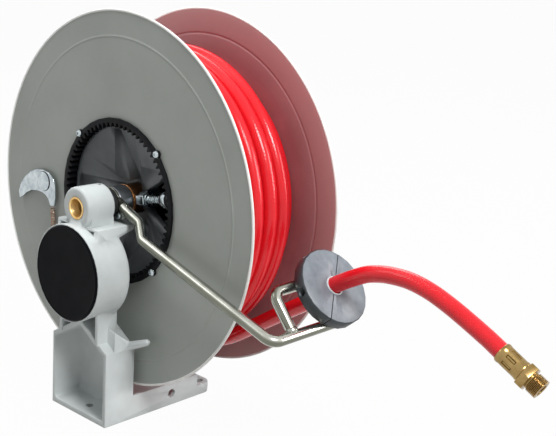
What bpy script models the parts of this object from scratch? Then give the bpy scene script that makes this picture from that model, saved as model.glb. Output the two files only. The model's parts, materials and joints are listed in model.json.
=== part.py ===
"""Retractable hose reel: an overhung drum on a cast stand, with a geared brake, a catch pawl and a guide arm.

Metres, +Z up. The origin is the centre of the stand's underside. The pieces of the drum, arm and stand are placed
in the drum's frame: x runs along the axle from the near disc's outer face, y and z start on the axle.
"""

import math

import bmesh
import bpy
from mathutils import Matrix, Vector

# Clearances
GAP = 0.0003
RUN_GAP = 0.0005

# Drum
DISC_RADIUS = 0.215
DISC_SHEET = 0.002
DISC_RIM = 0.002
DISC_BEAD_RADIUS = 0.185
DISC_BEAD_HEIGHT = 0.0012
DISC_BEAD_WIDTH = 0.005
DRUM_WIDTH = 0.1312
CORE_RADIUS = 0.1005
CORE_BORE = 0.088
CORE_MOUTH = 0.091
FLOOR_GAP = 0.0336
AXLE_HEIGHT = DISC_RADIUS + FLOOR_GAP

# Hose
HOSE_DIAMETER = 0.018
WOUND_TURNS = 5
WOUND_PITCH = 0.0195
WOUND_RADIUS = 0.1655
WOUND_LAYER_GAP = 0.0003
LOOP_POINTS = 24

# Ring gear and pinion
MODULE = 0.0024
RING_TEETH = 72
PINION_TEETH = 11
RING_RADIUS = 0.095
RING_FACE = 0.0033
RING_DEPTH = 0.0073
RING_TIP_WIDTH = 0.0016
RING_ROOT_WIDTH = 0.005
PINION_TIP_WIDTH = 0.0013
PINION_ROOT_WIDTH = 0.004
BRAKE_DROP = (RING_TEETH - PINION_TEETH) * MODULE / 2

# Screws of the ring gear and the far disc
SCREW_CIRCLE = 0.0945
SCREW_RADIUS = 0.002
SCREW_HEAD = 0.004
SCREW_LENGTH = 0.012

# Axle line
AXLE_RADIUS = 0.0125
AXLE_BORE = 0.0065
BOSS_RADIUS = 0.0235
BOSS_FACE = -0.058
BOSS_BACK = -0.020
INLET_DEPTH = 0.014
INLET_BORE = 0.0095
SPACER_RADIUS = 0.017
SPACER_LENGTH = 0.0079
PLATE_RADIUS = 0.0178
PLATE_THICKNESS = 0.0026
SLEEVE_RADIUS = 0.0178
SLEEVE_LENGTH = 0.0183
THRUST_LENGTH = 0.0018
SWIVEL_LENGTH = 0.019
BUSH_WALL = 0.0037
BUSH_LENGTH = 0.016
HUB_BOSS_WALL = 0.0035
HUB_RIBS = (4, 76, 149, 198, 270)
HUB_RIB_HEIGHT = 0.009

# Swivel outlet
NUT_FLATS = 0.017
NUT_LENGTH = 0.0125
OUTLET_TILT = math.radians(11)
TAIL_RADIUS = 0.006
TAIL_END = 0.073

# Stand
BASE_HALF_WIDTH = 0.049
PEDESTAL_FRONT = -0.050
PEDESTAL_BACK = -0.0095
SHOULDER_DROP = 0.160
ROOF_RIDGE = 0.1305
WALL = 0.005
FLOOR = 0.0065
FOOT_END = 0.0925
FOOT_WALL_HEIGHT = 0.028
LUG_END = 0.118
LUG_THICKNESS = 0.013
LUG_SLOT_X = 0.106
LUG_SLOT_Y = 0.038
LUG_SLOT_LENGTH = 0.012
LUG_SLOT_WIDTH = 0.008
FLOOR_HOLE_X = -0.033
FLOOR_HOLE_RADIUS = 0.0045
SIDE_HOLE_X = 0.051
SIDE_HOLE_RADIUS = 0.00525
LEG_OUTER = 0.035
LEG_FRONT = -0.052
LEG_BACK = -0.025
SHELF_TOP = -0.0184
SHELF_END = -0.0035
SADDLE_FRONT = -0.056

# Brake
HOUSING_RADIUS = 0.056
HOUSING_FRONT = -0.069
HOUSING_BACK = -0.021
CAVITY_RADIUS = 0.0483
CAP_RADIUS = 0.0538
CAP_FACE = -0.0705
SHAFT_RADIUS = 0.005
BEARING_RADIUS = 0.011
BEARING_LENGTH = 0.007
LINER_WALL = 0.0025
SHOE_TRAVEL = 0.0008
SHOE_INNER = 0.031

# Rewind spring
SPRING_CASE_FRONT = 0.0503
SPRING_CASE_BACK = 0.096
SPRING_COILS = 6
SPRING_STRIP = 0.001
ARBOR_RADIUS = 0.024

# Pawl
PAWL_Y = 0.1315
PAWL_Z = -0.003
PAWL_THICKNESS = 0.0026
PAWL_WASHER = 0.0024
PAWL_HEAD = 0.003
PAWL_HEAD_RADIUS = 0.0122
PAWL_RIVET = 0.003
PAWL_SPRING_COILS = 14
PAWL_SPRING_RADIUS = 0.0028
PAWL_SPRING_WIRE = 0.0012
PAWL_SPRING_LEAD = 0.003
PAWL_ARM_EDGE = ((0.1185, -0.031), (0.1105, -0.030))
SPRING_POST_NECK = 0.0015

# Guide arm
ROD_RADIUS = 0.006
ARM_PLANE = -0.020
LOOP_Y = -0.2671
LOOP_Z = -0.0843
LOOP_LEFT = 0.012
LOOP_RIGHT = 0.106
LOOP_HEIGHT = 0.0495
LOCK_BOLT = 0.002
LOCK_PLACE = (-0.0182, -0.0116)
STOP_TILT = math.radians(41.1)
STOP_RADIUS = 0.0432
STOP_THICKNESS = 0.0144
STOP_X = 0.079
STOP_RISE = 0.033
STOP_SPLIT_TILT = math.radians(-41)
STOP_SCREW_SPREAD = 0.024
STOP_HEAD_DEPTH = 0.0345
STRAND_LEAVING = ((0.100, 1.001, -119.2), (0.092, 1.0309, -136.3))
STRAND_SHARES = (0.379, 0.766)

# Outlet fitting
FERRULE_RADIUS = 0.0098
FERRULE_LENGTH = 0.0285
FITTING_FLATS = 0.022
FITTING_HEX_LENGTH = 0.0085
THREAD_RADIUS = 0.0103
THREAD_LENGTH = 0.014
FITTING_BORE = 0.006

NEAR_FACE_X = -0.034
ROUND = 24
MID_ROUND = 36
DISC_ROUND = 56

parts = bpy.data.collections.new("hose_reel")
tools = bpy.data.collections.new("cutters")
materials = {}


def clear_scene():
    for thing in list(bpy.data.objects):
        bpy.data.objects.remove(thing, do_unlink=True)
    bpy.context.scene.collection.children.link(parts)
    bpy.context.scene.collection.children.link(tools)


def material(name, colour, roughness, metallic=0.0):
    made = bpy.data.materials.new(name)
    made.use_nodes = True
    shader = made.node_tree.nodes["Principled BSDF"]
    shader.inputs["Base Color"].default_value = (*colour, 1.0)
    shader.inputs["Roughness"].default_value = roughness
    shader.inputs["Metallic"].default_value = metallic
    materials[name] = made


def make_materials():
    material("cast_grey", (0.58, 0.61, 0.60), 0.5)
    material("cap_black", (0.012, 0.013, 0.018), 0.45)
    material("disc_grey", (0.25, 0.27, 0.245), 0.45)
    material("hub_black", (0.03, 0.033, 0.038), 0.5)
    material("brass", (0.78, 0.53, 0.2), 0.28, 1.0)
    material("bronze", (0.3, 0.14, 0.06), 0.4, 1.0)
    material("zinc_plate", (0.7, 0.72, 0.68), 0.3, 1.0)
    material("chrome_dark", (0.3, 0.32, 0.34), 0.25, 1.0)
    material("spring_steel", (0.2, 0.22, 0.26), 0.35, 1.0)
    material("friction", (0.1, 0.07, 0.05), 0.8)
    material("hose_red", (0.67, 0.016, 0.026), 0.3)
    material("feed_black", (0.02, 0.02, 0.022), 0.5)
    material("stop_face", (0.38, 0.41, 0.45), 0.5)


def empty(name, place):
    frame = bpy.data.objects.new(name, None)
    frame.location = place
    parts.objects.link(frame)
    return frame


def finish(thing, finish_name, frame=None):
    """Gives a piece its material and its parent frame."""
    thing.data.materials.clear()
    thing.data.materials.append(materials[finish_name])
    if frame is not None:
        thing.parent = frame
    if thing.type == "MESH":
        thing.data.shade_smooth()
        thing.data.set_sharp_from_angle(angle=math.radians(35))
    return thing


def as_tool(thing, frame):
    """Turns an object into a hidden cutter or joining piece."""
    parts.objects.unlink(thing)
    tools.objects.link(thing)
    thing.parent = frame
    thing.hide_render = True
    thing.display_type = "WIRE"
    return thing


def boolean(target, tool, operation):
    modifier = target.modifiers.new(tool.name, "BOOLEAN")
    modifier.operation = operation
    modifier.solver = "EXACT"
    modifier.use_hole_tolerant = True
    modifier.object = tool


def weld(target):
    modifier = target.modifiers.new("weld", "WELD")
    modifier.merge_threshold = 5e-6


def cut(target, *cutters):
    for cutter in cutters:
        boolean(target, as_tool(cutter, target.parent), "DIFFERENCE")
    weld(target)


def join(target, *pieces):
    for piece in pieces:
        boolean(target, as_tool(piece, target.parent), "UNION")
    weld(target)


def turned(name, profile, centre=(0.0, 0.0), steps=ROUND, frame_matrix=None):
    """A profile of (x, radius) points turned about the x axis through centre (y, z), or about another frame's x."""
    area = sum(a[0] * b[1] - b[0] * a[1] for a, b in zip(profile, profile[1:] + profile[:1]))
    ordered = profile if area > 0 else profile[::-1]
    start = min(range(len(ordered)), key=lambda k: (ordered[k][1], ordered[k][0]))
    ordered = ordered[start:] + ordered[:start]
    on_axis = [point[1] < 1e-9 for point in ordered]
    closed = not any(on_axis)
    if not closed:
        while not (on_axis[0] and not on_axis[1]):
            ordered = ordered[1:] + ordered[:1]
            on_axis = on_axis[1:] + on_axis[:1]
    mesh = bpy.data.meshes.new(name)
    shape = bmesh.new()
    corners = [shape.verts.new((radius, 0.0, x)) for x, radius in ordered]
    for first, second in zip(corners, corners[1:]):
        shape.edges.new((first, second))
    if closed:
        shape.edges.new((corners[-1], corners[0]))
    shape.to_mesh(mesh)
    shape.free()
    thing = bpy.data.objects.new(name, mesh)
    parts.objects.link(thing)
    placed = frame_matrix or Matrix.Translation((0.0, centre[0], centre[1]))
    thing.matrix_local = placed @ Matrix.Rotation(math.radians(90), 4, "Y")
    screw = thing.modifiers.new("turn", "SCREW")
    screw.axis = "Z"
    screw.steps = steps
    screw.render_steps = steps
    screw.use_merge_vertices = True
    screw.merge_threshold = 1e-6
    screw.use_smooth_shade = True
    return thing


def rod(name, x0, x1, radius, centre=(0.0, 0.0), steps=24, frame_matrix=None):
    return turned(name, [(x0, 0.0), (x0, radius), (x1, radius), (x1, 0.0)], centre, steps, frame_matrix)


def ring(name, x0, x1, inner, outer, centre=(0.0, 0.0), steps=ROUND, frame_matrix=None):
    profile = [(x0, inner), (x0, outer), (x1, outer), (x1, inner)]
    return turned(name, profile, centre, steps, frame_matrix)


PLANES = {
    "x": Matrix(((0, 0, 1, 0), (1, 0, 0, 0), (0, 1, 0, 0), (0, 0, 0, 1))),
    "y": Matrix(((1, 0, 0, 0), (0, 0, -1, 0), (0, 1, 0, 0), (0, 0, 0, 1))),
    "z": Matrix.Identity(4),
}


def to_mesh(thing):
    """Swaps a curve for its welded mesh, at the same place."""
    bpy.context.view_layer.update()
    graph = bpy.context.evaluated_depsgraph_get()
    mesh = bpy.data.meshes.new_from_object(thing.evaluated_get(graph))
    shape = bmesh.new()
    shape.from_mesh(mesh)
    bmesh.ops.remove_doubles(shape, verts=shape.verts, dist=1e-6)
    bmesh.ops.recalc_face_normals(shape, faces=shape.faces)
    shape.to_mesh(mesh)
    shape.free()
    name = thing.name
    place = thing.matrix_local.copy()
    bpy.data.objects.remove(thing, do_unlink=True)
    solid = bpy.data.objects.new(name, mesh)
    solid.matrix_local = place
    parts.objects.link(solid)
    return solid


def slab(name, outlines, axis, low, high):
    """Flat outlines (the first one outer, the others holes) extruded between low and high along an axis.

    Outline points are (y, z) for axis x, (x, z) for axis y and (x, y) for axis z.
    """
    curve = bpy.data.curves.new(name, "CURVE")
    curve.dimensions = "2D"
    curve.fill_mode = "BOTH"
    curve.extrude = (high - low) / 2
    for outline in outlines:
        spline = curve.splines.new("POLY")
        spline.points.add(len(outline) - 1)
        for point, (u, v) in zip(spline.points, outline):
            point.co = (u, v, 0.0, 1.0)
        spline.use_cyclic_u = True
    thing = bpy.data.objects.new(name, curve)
    parts.objects.link(thing)
    middle = (high + low) / 2
    shift = -middle if axis == "y" else middle
    thing.matrix_local = PLANES[axis] @ Matrix.Translation((0.0, 0.0, shift))
    return to_mesh(thing)


def rounded(outline, radius, steps=4):
    """A flat outline with each corner rounded to the radius."""
    made = []
    for before, corner, after in zip(outline[-1:] + outline[:-1], outline, outline[1:] + outline[:1]):
        corner = Vector(corner)
        into = (corner - Vector(before)).normalized()
        away = (Vector(after) - corner).normalized()
        half = into.angle(away) / 2
        reach = radius * math.tan(half)
        begin = corner - into * reach
        turn = 1 if into.cross(away) > 0 else -1
        centre = begin + turn * radius * Vector((-into.y, into.x))
        for k in range(steps + 1):
            spoke = Matrix.Rotation(turn * 2 * half * k / steps, 2) @ (begin - centre)
            made.append(tuple(centre + spoke))
    return made


def box(name, low, high):
    shape = bmesh.new()
    bmesh.ops.create_cube(shape, size=1.0)
    size = Vector(high) - Vector(low)
    bmesh.ops.scale(shape, vec=size, verts=shape.verts)
    bmesh.ops.translate(shape, vec=(Vector(high) + Vector(low)) / 2, verts=shape.verts)
    return from_bmesh(name, shape)


def hull(name, points):
    shape = bmesh.new()
    for point in points:
        shape.verts.new(point)
    made = bmesh.ops.convex_hull(shape, input=shape.verts)
    loose = [v for v in made["geom_interior"] + made["geom_unused"] if isinstance(v, bmesh.types.BMVert)]
    bmesh.ops.delete(shape, geom=loose, context="VERTS")
    bmesh.ops.recalc_face_normals(shape, faces=shape.faces)
    return from_bmesh(name, shape)


def from_bmesh(name, shape):
    mesh = bpy.data.meshes.new(name)
    shape.to_mesh(mesh)
    shape.free()
    thing = bpy.data.objects.new(name, mesh)
    parts.objects.link(thing)
    return thing


def bevelled(thing, width, segments=2, angle=30):
    bevel = thing.modifiers.new("rounded", "BEVEL")
    bevel.width = width
    bevel.segments = segments
    bevel.limit_method = "ANGLE"
    bevel.angle_limit = math.radians(angle)
    return thing


def tube(name, points, radius, bevel_resolution):
    """A round bar through points, as one open spline with filled caps."""
    curve = bpy.data.curves.new(name, "CURVE")
    curve.dimensions = "3D"
    curve.bevel_depth = radius
    curve.bevel_resolution = bevel_resolution
    curve.use_fill_caps = True
    spline = curve.splines.new("POLY")
    spline.points.add(len(points) - 1)
    for point, place in zip(spline.points, points):
        point.co = (*place, 1.0)
    thing = bpy.data.objects.new(name, curve)
    parts.objects.link(thing)
    return thing


def rounded_path(corners, bend, steps=5):
    """Corners joined by straight runs, each inner corner rounded by an arc of the bend radius."""
    path = [Vector(corners[0])]
    for before, corner, after in zip(corners, corners[1:], corners[2:]):
        into = (Vector(corner) - Vector(before)).normalized()
        away = (Vector(after) - Vector(corner)).normalized()
        half = into.angle(away) / 2
        reach = bend * math.tan(half)
        centre = Vector(corner) + (away - into).normalized() * bend / math.cos(half)
        begin = Vector(corner) - into * reach - centre
        turn = into.cross(away).normalized()
        for k in range(steps + 1):
            path.append(centre + Matrix.Rotation(2 * half * k / steps, 3, turn) @ begin)
    path.append(Vector(corners[-1]))
    return path


def smooth_path(route, spacing):
    """Points along a Catmull-Rom curve through the route, about one spacing apart."""
    route = [Vector(point) for point in route]
    ends = [2 * route[0] - route[1], *route, 2 * route[-1] - route[-2]]
    path = []
    for p0, p1, p2, p3 in zip(ends, ends[1:], ends[2:], ends[3:]):
        count = max(1, round((p2 - p1).length / spacing))
        for k in range(count):
            t = k / count
            path.append(0.5 * (2 * p1 + (p2 - p0) * t + (2 * p0 - 5 * p1 + 4 * p2 - p3) * t * t
                               + (3 * p1 - p0 - 3 * p2 + p3) * t * t * t))
    path.append(route[-1])
    return path


def around(radius, angle):
    """The (y, z) point at a radius and angle about the axle."""
    return radius * math.cos(angle), radius * math.sin(angle)


def arc(radius, start, end, steps):
    return [around(radius, start + (end - start) * k / steps) for k in range(steps + 1)]


def facing(place, direction):
    """A frame at a place, with its x axis along a direction."""
    x = Vector(direction).normalized()
    y = Vector((0.0, 0.0, 1.0)).cross(x)
    y = Vector((0.0, 1.0, 0.0)) if y.length < 1e-6 else y.normalized()
    z = x.cross(y)
    turn = Matrix((x, y, z)).transposed().to_4x4()
    return Matrix.Translation(place) @ turn


def hexagon(name, frame_matrix, start, end, flats):
    """A hexagonal prism along the frame's x axis."""
    return turned(name, [(start, 0.0), (start, flats / math.sqrt(3)), (end, flats / math.sqrt(3)), (end, 0.0)],
                  steps=6, frame_matrix=frame_matrix)


def gear_outline(teeth, tip, root, tip_width, root_width, phase):
    outline = []
    for k in range(teeth):
        centre = phase + 2 * math.pi * k / teeth
        for radius, width in ((root, -root_width), (tip, -tip_width), (tip, tip_width), (root, root_width)):
            outline.append(around(radius, centre + width / 2 / radius))
    return outline


# Stand

def casting(axle_frame):
    bottom = -AXLE_HEIGHT
    half = BASE_HALF_WIDTH
    foot_top = bottom + FOOT_WALL_HEIGHT
    lug_top = bottom + LUG_THICKNESS
    body = slab("stand_casting", [[(PEDESTAL_FRONT, bottom), (LUG_END, bottom), (LUG_END, foot_top),
                                   (PEDESTAL_BACK, foot_top), (PEDESTAL_BACK, -ROOF_RIDGE + 0.004),
                                   (PEDESTAL_FRONT, -ROOF_RIDGE + 0.004)]], "y", -half, half)
    body.parent = axle_frame
    inner = half - WALL
    slope = (SHOULDER_DROP - ROOF_RIDGE) / half
    wide = half + 0.01
    above_roof = slab("above_roof", [[(-wide, -ROOF_RIDGE - wide * slope), (0.0, -ROOF_RIDGE),
                                      (wide, -ROOF_RIDGE - wide * slope), (wide, -0.1), (-wide, -0.1)]],
                      "x", PEDESTAL_FRONT - 0.01, PEDESTAL_BACK + 0.01)
    ceiling = ROOF_RIDGE + WALL * 1.3
    pocket_outline = [(-inner, bottom + FLOOR), (inner, bottom + FLOOR), (inner, -ceiling - inner * slope),
                      (0.0, -ceiling), (-inner, -ceiling - inner * slope)]
    pocket = slab("pocket", [rounded(pocket_outline, WALL)], "x", PEDESTAL_FRONT - 0.02, PEDESTAL_BACK - WALL)
    lug_start = FOOT_END - 2 * WALL
    channel = slab("channel", [[(PEDESTAL_BACK, bottom + FLOOR), (lug_start, bottom + FLOOR), (lug_start, lug_top),
                                (FOOT_END + 0.0002, lug_top), (FOOT_END + 0.0002, foot_top + 0.01),
                                (PEDESTAL_BACK, foot_top + 0.01)]], "y", -inner, inner)
    above_lug = box("above_lug", (FOOT_END, -wide, lug_top - 0.0002), (LUG_END + 0.01, wide, foot_top + 0.01))
    cut(body, above_roof, pocket, channel, above_lug)
    corner = LUG_END - LUG_SLOT_X
    for side in (1, -1):
        outline = [(LUG_END - corner + corner * math.cos(a), side * (half - corner + corner * math.sin(a)))
                   for a in (math.radians(15 * k) for k in range(7))]
        outline += [(LUG_END - corner, side * wide), (LUG_END + 0.01, side * wide),
                    (LUG_END + 0.01, side * (half - corner))]
        cut(body, slab(f"lug_corner_{side}", [outline], "z", bottom - 0.005, lug_top + 0.005))

    for side in (1, -1):
        low, high = sorted((side * (LEG_OUTER - WALL), side * LEG_OUTER))
        leg = box(f"leg_{side}", (LEG_FRONT, low, -0.1535), (LEG_BACK, high, SHELF_TOP - 0.004))
        join(body, leg)

    shelf = slab("saddle_shelf", [[(SADDLE_FRONT, SHELF_TOP), (SHELF_END, SHELF_TOP),
                                   (SHELF_END, SHELF_TOP - 0.0055), (-0.027, SHELF_TOP - 0.0131),
                                   (SADDLE_FRONT, SHELF_TOP - 0.0146)]], "y", -LEG_OUTER - 0.0005, LEG_OUTER + 0.0005)
    join(body, bevelled(shelf, 0.0015))
    for side in (1, -1):
        low, high = sorted((side * 0.0165, side * (LEG_OUTER - WALL - 0.0005)))
        slot = box(f"saddle_slot_{side}", (SADDLE_FRONT - 0.01, low, SHELF_TOP - 0.02),
                   (LEG_BACK - 0.004, high, SHELF_TOP - 0.0025))
        cut(body, slot)
    neck = box("boss_neck", (BOSS_FACE + 0.0046, -BOSS_RADIUS + 0.001, SHELF_TOP - 0.004),
               (BOSS_BACK - 0.0032, BOSS_RADIUS - 0.001, 0.0))
    boss = turned("axle_boss", [(BOSS_FACE, 0.0), (BOSS_FACE, BOSS_RADIUS - 0.002), (BOSS_FACE + 0.002, BOSS_RADIUS),
                                (BOSS_BACK - 0.003, BOSS_RADIUS), (BOSS_BACK, BOSS_RADIUS - 0.003), (BOSS_BACK, 0.0)])
    join(body, neck, boss)
    axle_bore = rod("axle_bore", BOSS_FACE - 0.01, BOSS_BACK + 0.01, AXLE_RADIUS + GAP, steps=ROUND)
    set_screw_hole = rod("set_screw_hole", 0.0, 0.03, 0.0025 + GAP, steps=16,
                         frame_matrix=facing((-0.027, 0.0, 0.0), (0, 0, 1)))
    cut(body, axle_bore, set_screw_hole)

    shell = turned("brake_housing", [
        (HOUSING_FRONT, 0.0), (HOUSING_FRONT, HOUSING_RADIUS), (-0.046, HOUSING_RADIUS - 0.0015),
        (-0.031, HOUSING_RADIUS + 0.0015), (-0.026, HOUSING_RADIUS), (-0.0218, HOUSING_RADIUS - 0.005),
        (HOUSING_BACK, HOUSING_RADIUS - 0.009), (HOUSING_BACK, 0.0)], (0.0, -BRAKE_DROP), MID_ROUND)
    join(body, shell)
    back_wall = HOUSING_BACK - WALL - 0.001
    bearing_seat = BEARING_RADIUS + GAP
    hollow = turned("brake_cavity", [
        (HOUSING_FRONT - 0.01, 0.0), (HOUSING_FRONT - 0.01, CAP_RADIUS + GAP), (HOUSING_FRONT + 0.003, CAP_RADIUS + GAP),
        (HOUSING_FRONT + 0.003, CAVITY_RADIUS), (back_wall, CAVITY_RADIUS), (back_wall, bearing_seat + WALL),
        (back_wall - 0.013, bearing_seat + WALL), (back_wall - 0.013, 0.0)], (0.0, -BRAKE_DROP), MID_ROUND)
    bore = rod("bearing_bore", back_wall - 0.02, HOUSING_BACK - 0.0015, bearing_seat, (0.0, -BRAKE_DROP), 24)
    shaft_hole = rod("shaft_hole", HOUSING_BACK - 0.01, HOUSING_BACK + 0.01, SHAFT_RADIUS + 0.0015,
                     (0.0, -BRAKE_DROP))
    cut(body, hollow, bore, shaft_hole)

    side = -half + 0.0004
    finger = hull("catch_finger", [
        (-0.038, -LEG_OUTER + 0.001, -0.1335), (-0.038, side, -0.137), (-0.0105, side, -0.1555),
        (-0.0105, -LEG_OUTER + 0.001, -0.1535), (-0.038, side, -0.162), (-0.0105, side, -0.162),
        (-0.038, -LEG_OUTER + 0.001, -0.154), (-0.0105, -LEG_OUTER + 0.001, -0.154)])
    nub_start = Vector((-0.0148, -half + 0.004, -0.1585))
    nub_end = Vector((-0.0132, -0.077, -0.144))
    nub_length = (nub_end - nub_start).length
    nub = turned("catch_nub", [(0.0, 0.0), (0.0, 0.0052), (nub_length - 0.003, 0.0038), (nub_length, 0.0022),
                               (nub_length, 0.0)], steps=16, frame_matrix=facing(nub_start, nub_end - nub_start))
    join(body, finger, nub)

    floor_hole = rod("floor_hole", 0.0, 0.02, FLOOR_HOLE_RADIUS,
                     frame_matrix=facing((FLOOR_HOLE_X, 0.0, bottom - 0.005), (0, 0, 1)))
    side_hole = rod("side_hole", 0.0, 2 * half + 0.02, SIDE_HOLE_RADIUS,
                    frame_matrix=facing((SIDE_HOLE_X, -half - 0.01, bottom + 0.015), (0, 1, 0)))
    cut(body, floor_hole, side_hole)
    end = (LUG_SLOT_LENGTH - LUG_SLOT_WIDTH) / 2
    radius = LUG_SLOT_WIDTH / 2
    for side in (1, -1):
        outline = [(LUG_SLOT_X + end + radius * math.cos(a), side * LUG_SLOT_Y + radius * math.sin(a))
                   for a in (math.radians(-90 + 22.5 * k) for k in range(9))]
        outline += [(LUG_SLOT_X - end + radius * math.cos(a), side * LUG_SLOT_Y + radius * math.sin(a))
                    for a in (math.radians(90 + 22.5 * k) for k in range(9))]
        cut(body, slab(f"lug_slot_{side}", [outline], "z", bottom - 0.005, bottom + LUG_THICKNESS + 0.005))
    finish(body, "cast_grey", axle_frame)


def stand_pieces(axle_frame):
    cap = turned("housing_cap", [
        (CAP_FACE, 0.0), (CAP_FACE, CAP_RADIUS - 0.0015), (CAP_FACE + 0.0012, CAP_RADIUS),
        (HOUSING_FRONT + 0.003 - GAP, CAP_RADIUS), (HOUSING_FRONT + 0.003 - GAP, CAVITY_RADIUS - GAP),
        (HOUSING_FRONT + 0.007, CAVITY_RADIUS - GAP), (HOUSING_FRONT + 0.007, 0.0)],
        (0.0, -BRAKE_DROP), MID_ROUND)
    finish(cap, "cap_black", axle_frame)
    inlet_end = BOSS_FACE + INLET_DEPTH
    inlet = turned("inlet_bush", [(BOSS_FACE - 0.0003, INLET_BORE + 0.001), (BOSS_FACE - 0.0003, AXLE_RADIUS),
                                  (inlet_end, AXLE_RADIUS), (inlet_end, INLET_BORE),
                                  (BOSS_FACE + 0.001, INLET_BORE)])
    finish(inlet, "brass", axle_frame)
    axle_start = inlet_end + GAP
    axle = turned("axle", [(axle_start, 0.0), (axle_start, AXLE_RADIUS), (axle_end(), AXLE_RADIUS), (axle_end(), 0.0)])
    axle.parent = axle_frame
    bore = rod("water_bore", axle_start - 0.01, swivel_start() + SWIVEL_LENGTH / 2 + 0.004, AXLE_BORE)
    port = rod("water_port", 0.0, 0.02, 0.004, steps=16, frame_matrix=outlet_frame())
    cut(axle, bore, port)
    finish(axle, "zinc_plate", axle_frame)
    screw_seat = AXLE_RADIUS + GAP
    screw = rod("axle_set_screw", screw_seat, BOSS_RADIUS - 0.0015, 0.0025, steps=16,
                frame_matrix=facing((-0.027, 0.0, 0.0), (0, 0, 1)))
    finish(screw, "chrome_dark", axle_frame)
    spacer = ring("spacer_ring", BOSS_BACK + GAP, BOSS_BACK + GAP + SPACER_LENGTH, AXLE_RADIUS + GAP, SPACER_RADIUS)
    finish(spacer, "feed_black", axle_frame)
    sleeve = ring("axle_sleeve", sleeve_start(), sleeve_start() + SLEEVE_LENGTH, AXLE_RADIUS + GAP, SLEEVE_RADIUS)
    finish(sleeve, "chrome_dark", axle_frame)
    thrust_start = sleeve_start() + SLEEVE_LENGTH + GAP
    thrust = ring("thrust_ring", thrust_start, thrust_start + THRUST_LENGTH, AXLE_RADIUS + GAP, SLEEVE_RADIUS + 0.0004)
    finish(thrust, "bronze", axle_frame)
    arbor = ring("spring_arbor", SPRING_CASE_FRONT + 0.004, SPRING_CASE_BACK - 0.002, AXLE_RADIUS + GAP, ARBOR_RADIUS)
    finish(arbor, "chrome_dark", axle_frame)
    washer_start = far_boss_end() + RUN_GAP
    washer = ring("axle_end_washer", washer_start, washer_start + 0.002, AXLE_RADIUS + GAP, 0.022)
    finish(washer, "zinc_plate", axle_frame)
    nut_start = washer_start + 0.002 + GAP
    nut = hexagon("axle_end_nut", Matrix.Identity(4), nut_start, nut_start + 0.01, 0.036)
    nut.parent = axle_frame
    cut(nut, rod("nut_bore", nut_start - 0.01, nut_start + 0.02, AXLE_RADIUS + GAP, steps=ROUND))
    finish(nut, "zinc_plate", axle_frame)


def plate_start():
    return BOSS_BACK + SPACER_LENGTH + 2 * GAP


def sleeve_start():
    return plate_start() + PLATE_THICKNESS + GAP


def swivel_start():
    return sleeve_start() + SLEEVE_LENGTH + THRUST_LENGTH + 2 * GAP


def bush_start():
    return swivel_start() + SWIVEL_LENGTH + RUN_GAP


def far_boss_end():
    return DRUM_WIDTH - 0.006


def axle_end():
    return far_boss_end() + RUN_GAP + 0.014


def outlet_frame():
    """The frame of the swivel's outlet: x runs out from the axle, towards -y and a little up."""
    centre = (swivel_start() + SWIVEL_LENGTH / 2 - 0.003, 0.0, 0.0)
    return facing(centre, (0.0, -math.cos(OUTLET_TILT), math.sin(OUTLET_TILT)))


# Brake

def brake_pieces(axle_frame, brake_frame, shoe_frames):
    back_wall = HOUSING_BACK - WALL - 0.001
    rear_start = HOUSING_BACK - 0.0015 - GAP - BEARING_LENGTH
    front_start = rear_start - 0.0035 - BEARING_LENGTH
    for name, start in (("brake_bearing_rear", rear_start), ("brake_bearing_front", front_start)):
        bearing = ring(name, start, start + BEARING_LENGTH, SHAFT_RADIUS + GAP, BEARING_RADIUS, (0.0, -BRAKE_DROP), 24)
        finish(bearing, "chrome_dark", axle_frame)
    liner_outer = CAVITY_RADIUS - GAP
    liner = ring("brake_liner", HOUSING_FRONT + 0.008, back_wall - 0.018, liner_outer - LINER_WALL, liner_outer,
                 (0.0, -BRAKE_DROP), MID_ROUND)
    finish(liner, "friction", axle_frame)

    carrier_back = front_start - RUN_GAP
    carrier_front = HOUSING_FRONT + 0.008
    pitch = MODULE * PINION_TEETH / 2
    root = pitch - 0.0028
    tip = pitch + 0.002
    outline = gear_outline(PINION_TEETH, tip, root, PINION_TIP_WIDTH, PINION_ROOT_WIDTH, math.radians(-90))
    shaft = slab("brake_shaft", [outline], "x", -RING_FACE + GAP, RING_DEPTH - GAP)
    shaft.parent = brake_frame
    journal = rod("journal", carrier_front + 0.002, RING_DEPTH - 0.002, SHAFT_RADIUS, steps=24)
    join(shaft, journal)
    finish(shaft, "chrome_dark", brake_frame)

    carrier = turned("shoe_carrier", [
        (carrier_front + 0.002, SHAFT_RADIUS + GAP), (carrier_front + 0.002, 0.012), (carrier_back - 0.003, 0.012),
        (carrier_back - 0.003, 0.040), (carrier_back, 0.040), (carrier_back, SHAFT_RADIUS + GAP)])
    carrier.parent = brake_frame
    for side in (1, -1):
        low, high = sorted((side * 0.011, side * 0.036))
        tongue = box(f"drive_tongue_{side}", (carrier_front + 0.003, low, -0.006), (carrier_back - 0.002, high, 0.006))
        join(carrier, tongue)
    finish(carrier, "chrome_dark", brake_frame)

    shoe_outer = liner_outer - LINER_WALL - SHOE_TRAVEL - 2 * GAP
    for side, frame, name in ((1, shoe_frames[0], "brake_shoe_a"), (-1, shoe_frames[1], "brake_shoe_b")):
        half_angle = math.radians(62)
        middle = 0.0 if side > 0 else math.pi
        outline = arc(shoe_outer, middle - half_angle, middle + half_angle, 20)
        outline += arc(SHOE_INNER, middle + half_angle, middle - half_angle, 20)
        shoe = slab(name, [outline], "x", carrier_front + 0.003, carrier_back - 0.003 - GAP)
        shoe.parent = frame
        low, high = sorted((side * 0.02, side * (0.036 + RUN_GAP)))
        notch = box(f"shoe_notch_{side}", (carrier_front - 0.01, low, -0.006 - RUN_GAP),
                    (carrier_back + 0.01, high, 0.006 + RUN_GAP))
        cut(shoe, notch)
        finish(shoe, "friction", frame)


# Drum

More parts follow.
